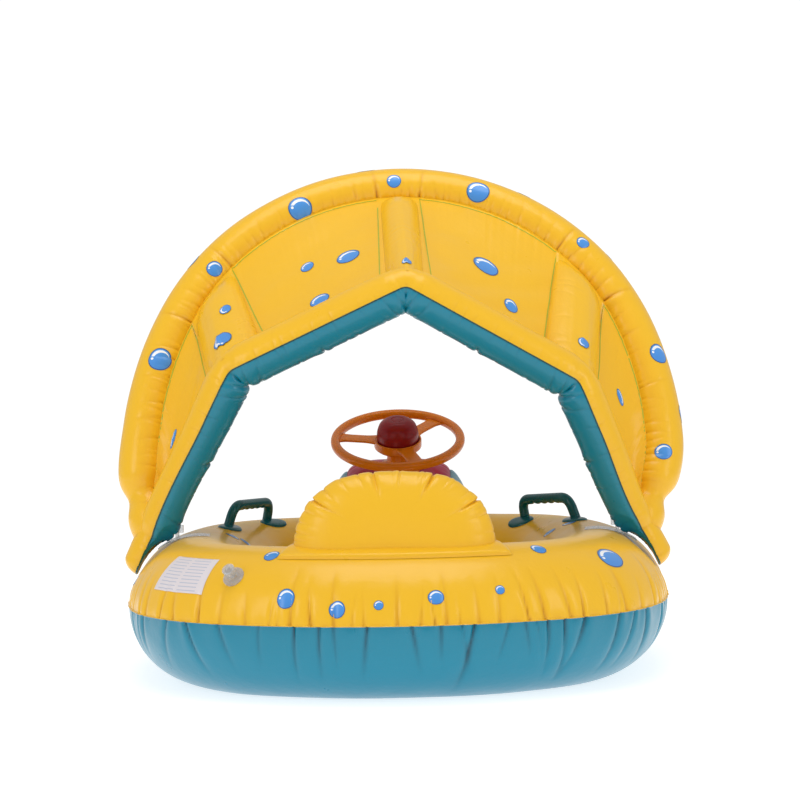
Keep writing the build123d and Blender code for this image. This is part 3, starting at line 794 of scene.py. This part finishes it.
def canopy_place(points):
    """Set the canopy a little askew, and flatten its feet so they clear the hull at any tilt."""
    points = points.copy()
    points[..., 0] += canopy_shift * smooth(points[..., 2], 190, 310)
    x, z = points[..., 0].copy(), points[..., 2] - canopy_skew_z
    a = radians(canopy_skew) * smooth(points[..., 2], 150, canopy_skew_z)
    points[..., 0] = x * np.cos(a) + z * np.sin(a)
    points[..., 2] = canopy_skew_z - x * np.sin(a) + z * np.cos(a)
    shoulder = np.clip(np.abs(points[..., 0]) - ring_half_width, 0, tube_radius)
    under = tube_centre_z + np.sqrt(np.clip((tube_radius - dent_depth / 2) ** 2 - shoulder**2, 0, None))
    room = np.maximum(pivot_z - under - 4.0, 8.0)
    dy, dz = points[..., 1] - canopy_foot_y, points[..., 2] - pivot_z
    lowest = dz
    for tilt in tilt_range:
        a = radians(tilt)
        lowest = np.minimum(lowest, dz * cos(a) + dy * sin(a))
    points[..., 2] += np.maximum(-room - lowest, 0) / cos(radians(max(tilt_range)))
    return points


def leaning(angle):
    a = radians(angle)
    return np.array([0.0, sin(a), cos(a)])


canopy_foot = np.array([0.0, canopy_foot_y, canopy_foot_z])


def arch_arcs():
    crown_y = arch_rise - arch_crown_bend
    rise = crown_y - arch_widest
    w, c = arch_half_width, arch_crown_bend
    bend_radius = (w**2 + rise**2 - c**2) / (2 * (w - c))
    meet = degrees(atan2(rise, bend_radius - w))
    side = w - bend_radius
    leg = w - arch_leg_bend
    return [
        ((leg, arch_widest), arch_leg_bend, -arch_leg_turn, arch_leg_turn),
        ((side, arch_widest), bend_radius, 0.0, meet),
        ((0.0, crown_y), c, meet, 180 - 2 * meet),
        ((-side, arch_widest), bend_radius, 180 - meet, meet),
        ((-leg, arch_widest), arch_leg_bend, 180.0, arch_leg_turn),
    ]


arch_list = arch_arcs()
arch_at, arch_starts, arch_length = arcs_line(arch_list)


def arch_distance(turn):
    """Distance along the arch of an angle on its crown."""
    _, r, start, _ = arch_list[2]
    return arch_starts[2] + radians(turn - start) * r


def round_end(s, length, cap):
    """Closes a tube at both ends with a rounded cap."""
    near = np.clip(np.minimum(s, length - s), 0, cap)
    return np.sqrt(np.clip(1 - ((cap - near) / cap) ** 2, 0, 1))


arch_folds_in = make_folds(31, arch_length, 12.0, 2.2, 3.6, 44.0, 0.2)
arch_folds_out = make_folds(32, arch_length, 34.0, 1.8, 1.2, 26.0, 0.2)
for rib_name, turn in rib_turn.items():
    for way in (-1, 1):
        edge = arch_distance(turn) + way * (rib_half_width[rib_name] + 2)
        arch_folds_in.append((edge, 2.6, 7.5, 58.0, 0.05 * way))


def arch_press(s, turn):
    reach = radians(1) * arch_radius
    turn = (np.asarray(turn, float) - arch_seam + 180) % 360 - 180
    inner = press(s, np.abs(turn) * reach, arch_folds_in)
    return inner + press(s, (180 - np.abs(turn)) * reach, arch_folds_out)


def arch_size(s, turn):
    swell = 0.5 * ripple(s, np.asarray(turn) * 0.5, 33, scale=120.0)
    waist = 1 - 0.32 * bell(np.minimum(s, arch_length - s) - 58, 17)
    return waist * round_end(s, arch_length, 22.0) * (arch_radius - arch_press(s, turn) + swell)


arch = tube(arch_at, canopy_foot, X_AXIS, leaning(arch_lean), arch_size, canopy_place)

rim_path = rim_points + [(-x, y) for x, y in rim_points[-2::-1]]
rim_at, rim_corners = bent_line(rim_path, 4.5)
rim_length = rim_corners[-1]
rim_creases = []
for corner_at in rim_corners[1:-1]:
    for offset, deep in ((-24, 2.6), (-10, 4.5), (0, 7.5), (9, 4.8), (21, 3.2)):
        rim_creases.append((corner_at + offset, 2.2, deep, 76.0, 0.1 * offset / 10))
rim_notches = [
    (low + 0.52 * (high - low), 2.6, 6.0, 30.0, 0.1)
    for low, high in zip(rim_corners[1:-2], rim_corners[2:-1])
]
rim_folds_in = make_folds(41, rim_length, 30.0, 2.0, 2.2, 32.0, 0.15) + rim_creases + rim_notches
rim_folds_out = make_folds(42, rim_length, 26.0, 1.8, 1.5, 26.0, 0.2)


def rim_press(s, turn):
    reach = radians(1) * rim_radius
    turn = np.asarray(turn, float)
    seam = (turn - rim_seam + 180) % 360 - 180
    inner = (turn - 180 + 180) % 360 - 180
    total = press(s, np.abs(seam) * reach, rim_folds_out)
    return total + press(s, np.abs(inner) * reach, rim_folds_in)


def rim_size(s, turn):
    turn = np.asarray(turn, float)
    pinch = 0
    inward = 0.5 - 0.5 * np.cos(np.radians(turn))
    for corner_at in rim_corners[1:-1]:
        pinch = pinch + bell(s - corner_at, 11.0) * (0.10 + 0.16 * inward)
    swell = 0.5 * ripple(s, turn * 0.5, 44, scale=120.0)
    foot = np.minimum(s, rim_length - s)
    crease = rim_corners[1]
    swell = swell - 4.0 * smooth(-foot, -rim_corners[2] - 10, -crease)
    size = rim_radius * (1 - pinch) - rim_press(s, turn) + swell
    return round_end(s, rim_length, 17.0) * size


rim = tube(rim_at, canopy_foot, X_AXIS, leaning(-rim_lean), rim_size, canopy_place)


def tube_halves(name, surface, folds, length, seam):
    """The two sheets of a canopy tube, welded along both sides."""
    s = np.linspace(0.05, length - 0.05, 760)[:, None]
    for part, low, slot in (("top", seam - 180, "yellow_pvc"), ("under", seam, "teal_pvc")):
        turns = np.linspace(low, low + 180, 44)[None, :]
        # Painted shade: the film is darker where the folds press it in.
        tone = np.clip(folds(s, turns) * 0.3, 0, 0.85)
        grid_piece(f"{name}_{part}_skin", "canopy", slot, surface(s, turns), True, tone=tone)


tube_halves("front_arch", arch, arch_press, arch_length, arch_seam)
tube_halves("rear_rim", rim, rim_press, rim_length, rim_seam)
rim_run = [(s, rim_seam) for s in np.linspace(4, rim_length - 4, 700)]
band_on(rim, "rim_weld_line", rim_run, 1.8, "teal_pvc", dark_weld, 0.5)


# ---- canopy ribs

rib_corner = {"left": rim_corners[4], "centre": rim_corners[3], "right": rim_corners[2]}


def tube_centre(surface, s):
    """Points on a tube's centre line, from opposite points round it."""
    return sum(surface(s, t + 0 * s) for t in (0, 90, 180, 270)) / 4


def rib_surface(name):
    """A pillow bent over the frame: each length of it lies between the rim and the arch."""
    half = rib_half_width[name]
    middle = arch_distance(rib_turn[name])
    ends = tube_centre(rim, np.array([rib_corner[name]])), arch(np.array([middle]), rib_on_arch)
    length = np.linalg.norm(ends[1] - ends[0])
    seed = {"left": 51, "centre": 52, "right": 53}[name]
    rows = make_folds(seed, length, 24.0, 2.4, 1.5, 40.0, 0.3)
    end_rows = make_folds(seed + 5, 2.4 * half, 13.0, 2.0, 3.2, 46.0)

    def surface(s, turn, lift=0.0):
        s, turn = matched(s, turn)
        t = np.radians(turn)
        across = half * np.sin(t)
        near = tube_centre(rim, rib_corner[name] + across * 0.92)
        far = arch(middle + across, rib_on_arch + 0 * s)
        share = (s / length)[..., None]
        line = near + share * (far - near)
        out = np.stack([0.75 * line[..., 0], 0 * s, line[..., 2] - canopy_foot_z], -1)
        way = (far - near) / np.linalg.norm(far - near, axis=-1, keepdims=True)
        out = out - way * np.sum(out * way, -1, keepdims=True)
        out = out / np.linalg.norm(out, axis=-1, keepdims=True)
        edge = half * (1 - np.abs(np.sin(t)))
        fold = press(s, edge, rows)
        fold = fold + press(across + half, length - s, end_rows)
        fold = fold + press(across + half, s - 24, end_rows)
        swell = 0.6 * ripple(s, across, seed + 9, scale=90.0)
        closing = (1 - np.clip((s - length + 60) / 60, 0, 1) ** 2) ** 0.7
        height = (rib_half_height - fold + swell) * np.cos(t) * closing + lift * np.sign(np.cos(t))
        return line + height[..., None] * out

    return surface, length


ribs = {}
for rib_name in ("left", "centre", "right"):
    rib, rib_length = rib_surface(rib_name)
    ribs[rib_name] = (rib, rib_length)
    s = np.linspace(-4, rib_length, 150)[:, None]
    for part, low, slot in (("top", -90, "yellow_pvc"), ("under", 90, "teal_pvc")):
        grid = rib(s, np.linspace(low, low + 180, 44)[None, :])
        grid_piece(f"{rib_name}_rib_{part}_skin", "canopy", slot, grid)

# ---- canopy panels


def panel_surface(side, inner):
    """A sheet between the rim and the arch, slack enough for soft diagonal folds."""
    turn = rib_turn["right" if side > 0 else "left"]
    corners = rim_corners[1:4] if side > 0 else rim_corners[5:2:-1]
    if inner:
        rim_low, rim_high = corners[1:]
        arch_low, arch_high = arch_distance(turn), arch_distance(rib_turn["centre"])
    else:
        rim_low, rim_high = corners[:2]
        arch_low, arch_high = (22.0 if side > 0 else arch_length - 22.0), arch_distance(turn)
    seed = 61 + 2 * (side > 0) + inner
    length = abs(rim_high - rim_low)
    sizes = length, abs(arch_high - arch_low)

    def surface(u, v, lift=0.0):
        u, v = matched(u, v)
        near = rim(rim_low + u * (rim_high - rim_low), panel_on_rim + 0 * u)
        far = arch(arch_low + u * (arch_high - arch_low), panel_on_arch + 0 * u)
        sheet = near + v[..., None] * (far - near)
        width = np.linalg.norm(far - near, axis=-1)
        out = np.stack([0.5 * near[..., 0], 0 * u, near[..., 2] - canopy_foot_z], -1)
        out /= np.linalg.norm(out, axis=-1, keepdims=True)
        hold = np.clip(4 * v * (1 - v), 0, 1) ** 0.7 * np.clip(4 * u * (1 - u), 0, 1) ** 0.5
        diagonal = u * length * 0.55 + v * width * 0.85 * side
        folds = 2.2 * ripple(diagonal, 0.22 * (u * length), seed, scale=38.0)
        folds = folds + 2.0 * ripple(u * length, v * width, seed + 20, scale=95.0)
        lifted = (folds - 5.0) * hold + lift
        return sheet + lifted[..., None] * out

    return surface, sizes


def weld_lines(node, surface, sizes, rib, inner):
    """Thin welds on a panel: along the arch, and along the edge of each rib."""
    steps = np.linspace(4.0, 97.0, 90)
    width = sizes[0] + (sizes[1] - sizes[0]) * steps / 100
    if inner:
        low = 100 * (rib_half_width[rib] + 2) / width
        high = 100 - 100 * (rib_half_width["centre"] + 2) / width
    else:
        low = 2.0 + 0 * width
        high = 100 - 100 * (rib_half_width[rib] + 2) / width

    def hundredths(a, b, lift):
        return surface(a / 100, b / 100, lift)

    along_arch = [(u, 97.0) for u in np.linspace(low[-1], high[-1], 90)]
    for name, run in (("arch", along_arch), ("low", zip(low, steps)), ("high", zip(high, steps))):
        run = list(run)
        band_on(hundredths, f"{node}_{name}_weld", run, 1.5, "yellow_pvc", weld_green, 0.8)


panels = {}
for side, side_name in ((-1, "left"), (1, "right")):
    for inner, place_name in ((True, "inner"), (False, "outer")):
        node = f"{side_name}_{place_name}_panel"
        panels[node], sizes = panel_surface(side, inner)
        u = np.linspace(0, 1, 90)[:, None]
        v = np.linspace(0, 1, 70)[None, :]
        grid_piece(node, "canopy", "yellow_pvc", panels[node](u, v), thick=0.5)
        weld_lines(node, panels[node], sizes, side_name, inner)

panel_bubbles = {
    "left_inner_panel": [
        (0.52, 0.52, 0.035, 0.045, 0),
        (0.73, 0.45, 0.06, 0.06, 0),
        (0.54, 0.14, 0.055, 0.05, 0),
    ],
    "right_inner_panel": [(0.56, 0.48, 0.07, 0.075, 0), (0.41, 0.23, 0.04, 0.05, 0)],
    "left_outer_panel": [(0.40, 0.5, 0.05, 0.05, 0)],
    "right_outer_panel": [(0.60, 0.54, 0.04, 0.05, 0)],
}
for node, places in panel_bubbles.items():
    mirror = -1 if "right_inner" in node else 1
    bubbles(f"{node}_bubbles", "canopy", panels[node], places, mirror, panel_print_lift)

rib_bubbles = {
    "left": [(98.0, -26, 9, 11, 0), (38.0, -6, 13, 17, 0)],
    "centre": [(24.0, -1, 7, 14, 0)],
    "right": [(45.0, 10, 9, 9, 0)],
}
for rib_name, places in rib_bubbles.items():
    bubbles(f"{rib_name}_rib_bubbles", "canopy", ribs[rib_name][0], places, 1, panel_print_lift)


# Angle on the crown, angle round the tube and half width in millimetres.
arch_bubbles = [
    (118, 108, 17), (144.5, 104, 11), (171, 95, 16), (94, 91, 10), (73.5, 91, 16),
    (45.5, 72, 9), (13.5, 56, 14), (-11, 88, 12), (100, 10, 13), (120, -5, 9),
    (64, 5, 12), (40, 0, 10), (145, 15, 12), (0, 5, 12),
]
# Each is turned so that its highlight stays at the upper left.
arch_spots = [
    (arch_distance(turn), around, half, degrees(half / arch_radius), turn + 90)
    for turn, around, half in arch_bubbles
]
bubbles("arch_bubbles", "canopy", arch, arch_spots)

# ---- backrest


def closed_outline(points, count, window):
    """A closed polyline, evenly spaced and softened."""
    line, s = resampled(points + points[:1], count + 1)
    line = line[:-1]
    kernel = np.hanning(window)
    kernel /= kernel.sum()
    half = window // 2
    padded = np.concatenate([line[-half:], line, line[:half]])
    soft = np.stack([np.convolve(padded[:, k], kernel, "valid") for k in (0, 1)], -1)
    return soft[:count], s[-1]


def backrest():
    """An inflated pillow: crowned, pinched by puckers along its top and shoulders."""
    outline, length = closed_outline(
        [(-119, 150), (-119, 176), (-114, 202), (-100, 228), (-70, 253), (-38, 260), (0, 262.5),
         (38, 260), (70, 253), (100, 228), (114, 202), (119, 176), (119, 150), (0, 146)],
        720,
        41,
    )
    count = len(outline)
    along = np.linspace(0, length, count, endpoint=False)
    centre = np.array([0.0, 178.0])
    rows = make_folds(71, length, 15.0, 2.4, 3.4, 30.0, 0.15)
    big = [(0.14, 7.5), (0.27, 8.0), (0.385, 8.5), (0.485, 7.0), (0.60, 8.0), (0.70, 6.0)]
    rows += [(share * length, 3.0, deep, 46.0, 0.0) for share, deep in big]
    rho = np.concatenate([np.linspace(1, 0.88, 22), 0.88 * np.linspace(1, 0, 60)[1:]])
    top = smooth(outline[:, 1], 165, 205)
    grids = []
    for way in (-1, 1):
        rings = []
        for r in rho:
            across = (1 - r) * 105.0
            fold = press(along, across, rows, length) * top
            notch = press(along, 0.0, rows, length) * top
            pull = 1 - 0.008 * np.clip(notch, -1, 5) * smooth(r, 0.7, 1.0)
            flat = centre + (outline - centre) * (r * pull)[:, None]
            bulge = (1 - r**3.0) ** 0.55 * backrest_depth / 2
            lower = 1 + 0.10 * smooth(200 - flat[:, 1], 0, 60)
            depth = bulge * lower - fold * (1 if r < 0.999 else 0)
            depth = np.maximum(depth, 0.0)
            rings.append(np.stack([flat[:, 0], backrest_y + way * depth, flat[:, 1]], -1))
        grids.append(np.array(rings))
    front, back = grids
    verts = np.concatenate([front.reshape(-1, 3), back.reshape(-1, 3)])
    faces = grid_faces(len(rho), count, False, True)
    faces = np.concatenate([faces, faces[:, ::-1] + front.shape[0] * count])
    return verts, faces


cushion = piece("backrest_cushion", "boat", "yellow_pvc", *backrest())

# ---- console


def console_profile():
    """The console from the side as (Y, Z), from its aft foot over the top."""
    slope = sin(column_lean) / cos(column_lean)
    middle = (console_aft_y + console_fore_y) / 2
    aft = column_base[2] - (column_base[1] - console_aft_y) * slope
    crest = column_base[2] + (middle - column_base[1]) * slope
    points = [
        (console_aft_y + 2, 120.0),
        (console_aft_y, aft),
        (middle, crest),
        (console_fore_y, aft - 26),
        (console_fore_y - 2, 120.0),
    ]
    return resampled(rounded(points, 34.0, 24), 220)


def console_skin(low, high, count):
    """The dome between two distances from the middle, pinched at the welds beside the band."""
    profile, s = console_profile()
    x = np.linspace(low, high, count)[:, None]
    share = np.clip(np.abs(x) / console_half_width, 0, 1)
    size = (1 - share**4.0) ** 0.42
    middle = (console_aft_y + console_fore_y) / 2
    rows = make_folds(81, s[-1], 20.0, 2.2, 2.4, 30.0, 0.1)
    off = np.abs(np.abs(x) - console_band)
    fold = press(s[None, :] + 0 * x, off + 0 * s[None, :], rows) + 3.2 * np.exp(-off / 3.0)
    scale = size * (1 - fold / 120.0)
    y = middle + (profile[None, :, 0] - middle) * (0.35 + 0.65 * scale)
    z = 100.0 + (profile[None, :, 1] - 100.0) * scale
    return np.stack([x + 0 * y, y, z], -1)


band = console_skin(-console_band, console_band, 110)
grid_piece("console_centre_panel", "boat", "console_pink_pvc", band, True)
gussets = [
    console_skin(console_band, console_half_width, 50),
    console_skin(-console_half_width, -console_band, 50),
]
gusset_faces = grid_faces(50, gussets[0].shape[1])[:, ::-1]
gusset_parts = joined([(gusset.reshape(-1, 3), gusset_faces) for gusset in gussets])
piece("console_side_gussets", "boat", "console_teal_pvc", *gusset_parts)

# ---- steering wheel


def on_column(points):
    """From the column's own axes to the boat's."""
    points = np.asarray(points, float)
    up = np.array([0.0, -sin(column_lean), cos(column_lean)])
    ahead = np.array([0.0, cos(column_lean), sin(column_lean)])
    return column_base + points[:, :1] * X_AXIS + points[:, 1:2] * ahead + points[:, 2:] * up


def wheel_rim():
    """The rim: a flattish section with a soft edge below."""
    t = circle(32)
    phi = circle(160)[:, None]
    c, s = np.cos(t), np.sin(t)
    across = 6.5 * np.sign(c) * np.abs(c) ** 0.8
    tall = 6.6 * np.sign(s) * np.abs(s) ** 0.85
    r = wheel_radius + across[None, :]
    z = wheel_height + tall[None, :] + 0 * phi
    grid = np.stack([r * np.cos(phi), r * np.sin(phi), z], -1)
    return grid.reshape(-1, 3), grid_faces(160, 32, True, True)


def spoke(turn):
    """One spoke: a flat bar with rounded edges that widens at the hub and the rim."""
    reach = np.linspace(27.0, 90.0, 30)
    t = circle(28)
    rings = []
    for r in reach:
        wide = 10.5 + 3.5 * bell(r - 30, 10.0) + 5.5 * bell(r - 90, 9.0)
        c, s = np.cos(t), np.sin(t)
        y = wide * np.sign(c) * np.abs(c) ** 0.45
        z = 2.4 * np.sign(s) * np.abs(s) ** 0.6
        rings.append(np.stack([r + 0 * t, y, wheel_height - 2 + z], -1))
    grid = np.array(rings).reshape(-1, 3)
    a = radians(turn)
    x = grid[:, 0] * cos(a) - grid[:, 1] * sin(a)
    y = grid[:, 0] * sin(a) + grid[:, 1] * cos(a)
    return np.stack([x, y, grid[:, 2]], -1), grid_faces(30, 28, False, True)[:, ::-1]


cup_profile = rounded(
    [(7, 31), (30, 31), (34.5, 35), (34.5, 46.5), (31.9, 46.5), (31.9, 34), (7, 34), (7, 31)], 1.0
)
horn_profile = rounded(
    [(29, 40.6), (31, 40.6), (31, 44), (30.2, 44.6), (30.4, 58), (26, 71), (16, 77.2), (9.5, 77.6),
     (8.6, 76.9), (7.4, 77.7), (0.02, 78)],
    5.0,
)
collar_profile = rounded(
    [(33, -6), (30, 1.5), (26, 5.5), (19, 8.5), (16.4, 13), (15.6, 30.6), (6, 30.6), (6, 20)], 3.0
)
wheel_parts = [wheel_rim(), lathe(cup_profile)] + [spoke(turn) for turn in spoke_turns]
for node, body, slot, (verts, faces) in (
    ("steering_wheel", "wheel", "orange_plastic", joined(wheel_parts)),
    ("horn_button", "horn", "red_rubber", lathe(horn_profile, 96)),
    ("column_collar", "boat", "orange_plastic", lathe(collar_profile)),
):
    piece(node, body, slot, on_column(verts), faces)

# ---- handles


def hull_spot(arc, turn, elevation):
    """A place on the smooth tube: point, way along the plan, way across it, outward."""
    centre, r, _, _ = hull_arcs[arc]
    a, e = radians(turn), radians(elevation)
    reach = r + tube_radius * cos(e)
    point = np.array(
        [centre[0] + reach * cos(a), centre[1] + reach * sin(a), tube_centre_z + tube_radius * sin(e)]
    )
    out = np.array([cos(e) * cos(a), cos(e) * sin(a), sin(e)])
    along = np.array([-sin(a), cos(a), 0.0])
    return point, along, np.cross(out, along), out


def handle_place(side):
    """The arc and the turn on it where a handle sits."""
    return (bow_right, handle_turn) if side > 0 else (bow_left, 180 - handle_turn)


def handle_twist(side):
    """The handles are welded on a little across the tube's line."""
    a = radians(14 if side > 0 else -3)
    return np.array([[cos(a), sin(a)], [-sin(a), cos(a)]])


def handle(side):
    """The bent grip with finger scallops below it."""
    arc, turn = handle_place(side)
    point, along, across, out = hull_spot(arc, turn, handle_elevation)
    feet = handle_half_span
    corners = [(-feet, 0, -3), (5 - feet, 0, 31), (feet - 5, 0, 31), (feet, 0, -3)]
    path, _ = resampled(rounded(corners, 24.0, 14), 110)
    verts, faces = sweep_tube(path, 7.4, 6.6, np.array([0.0, 1.0, 0.001]), 28)
    below = (verts[:, 2] < 30.0) & (np.abs(verts[:, 0]) < 38)
    notch = 1.6 * (0.5 + 0.5 * np.cos(2 * pi * (verts[:, 0] - 9) / 16.2))
    verts[:, 2] += np.where(below, notch * smooth(38 - np.abs(verts[:, 0]), 0, 6), 0)
    verts[:, :2] = verts[:, :2] @ handle_twist(side)
    world = point + verts[:, :1] * along + verts[:, 1:2] * across + verts[:, 2:] * out
    return world, faces


def handle_pads(side):
    """Two oval pads, welded flat and crowned round each foot of the grip."""
    arc, turn = handle_place(side)
    _, r, _, _ = hull_arcs[arc]
    parts = []
    for way in (-1, 1):
        rho = np.linspace(0.02, 1.0, 16)[:, None]
        phi = circle(48)[None, :]
        x = way * handle_half_span + 22 * rho * np.cos(phi)
        y = 16 * rho * np.sin(phi) + 0 * x
        flat = np.stack([x, y], -1) @ handle_twist(side)
        s = hull_place(arc, turn) + flat[..., 0] * r / (r - 23)
        e = handle_elevation + np.degrees(flat[..., 1] / tube_radius)
        height = 0.3 + 3.4 * np.sqrt(np.clip(1 - rho**5, 0, 1)) + 0 * phi
        grid = hull(s, e, height)
        parts.append((grid.reshape(-1, 3), grid_faces(16, 48, False, True)))
    return joined(parts)


for side, side_name in ((-1, "left"), (1, "right")):
    piece(f"{side_name}_handle_grip", "boat", "handle_plastic", *handle(side))
    piece(f"{side_name}_handle_pads", "boat", "handle_plastic", *handle_pads(side))

# ---- kept CAD pieces

clear_nodes = []
for side_name in ("left", "right"):
    clear_nodes += [f"{side_name}_fastener_{kind}" for kind in ("patch", "lug", "plug")]
for place_name in ("hull", "backrest", "console", "canopy"):
    clear_nodes += [f"{place_name}_valve_{kind}" for kind in ("stem", "plug")]
for finish, nodes in (
    ("steel", ["column_spindle", "spindle_washer", "spindle_screw"]),
    ("white_plastic", ["horn_squeaker"]),
    ("clear_pvc", clear_nodes),
):
    for node in nodes:
        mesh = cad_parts[node].data
        mesh.materials.clear()
        mesh.materials.append(materials[finish])

# ---- studio


def studio_floor():
    corners = [(-6000, -6000, 0), (6000, -6000, 0), (6000, 6000, 0), (-6000, 6000, 0)]
    floor = add_mesh("floor", corners, [(0, 1, 2, 3)])
    paint = {"Base Color": (0.6, 0.6, 0.6), "Roughness": 0.9}
    glow = {"Emission Color": (1.0, 1.0, 1.0), "Emission Strength": 0.72}
    floor.data.materials.append(Shading("studio_floor", paint | glow).material)


def area_light(name, place, target, width, height, power):
    data = bpy.data.lights.new(name, "AREA")
    data.shape = "RECTANGLE"
    data.size = width
    data.size_y = height
    data.energy = power
    light = bpy.data.objects.new(name, data)
    light.location = place
    light.rotation_euler = (Vector(target) - Vector(place)).to_track_quat("-Z", "Y").to_euler()
    bpy.context.scene.collection.objects.link(light)


def studio():
    studio_floor()
    area_light("key_above", (0.0, -0.4, 2.4), (0, 0, 0.2), 1.6, 1.4, 18)
    area_light("left_front", (-2.2, -2.2, 1.5), (0, 0, 0.3), 0.9, 1.6, 13)
    area_light("right_front", (2.4, -1.8, 1.4), (0, 0, 0.3), 0.8, 1.6, 10)
    world = bpy.data.worlds.new("studio")
    world.use_nodes = True
    nodes, links = world.node_tree.nodes, world.node_tree.links
    background = nodes["Background"]
    rays = nodes.new("ShaderNodeLightPath")
    strength = nodes.new("ShaderNodeMix")
    strength.inputs[2].default_value = light_around
    strength.inputs[3].default_value = light_behind
    links.new(rays.outputs["Is Camera Ray"], strength.inputs[0])
    links.new(strength.outputs[0], background.inputs[1])
    background.inputs[0].default_value = (1, 1, 1, 1)
    bpy.context.scene.world = world


def camera():
    data = bpy.data.cameras.new("camera")
    data.sensor_width = 36.0
    data.lens = camera_lens
    data.shift_x = camera_shift
    data.clip_end = 50.0
    obj = bpy.data.objects.new("camera", data)
    azimuth = radians(camera_turn)
    away = camera_distance
    obj.location = (-away * sin(azimuth), -away * cos(azimuth), camera_height)
    obj.rotation_mode = "YXZ"
    look = Matrix.Rotation(-azimuth, 4, "Z") @ Matrix.Rotation(radians(90), 4, "X")
    obj.rotation_euler = (look @ Matrix.Rotation(radians(camera_roll), 4, "Z")).to_euler("YXZ")
    bpy.context.scene.collection.objects.link(obj)
    bpy.context.scene.camera = obj


studio()
camera()
bpy.context.scene.view_settings.view_transform = "Standard"

bpy.context.view_layer.update()
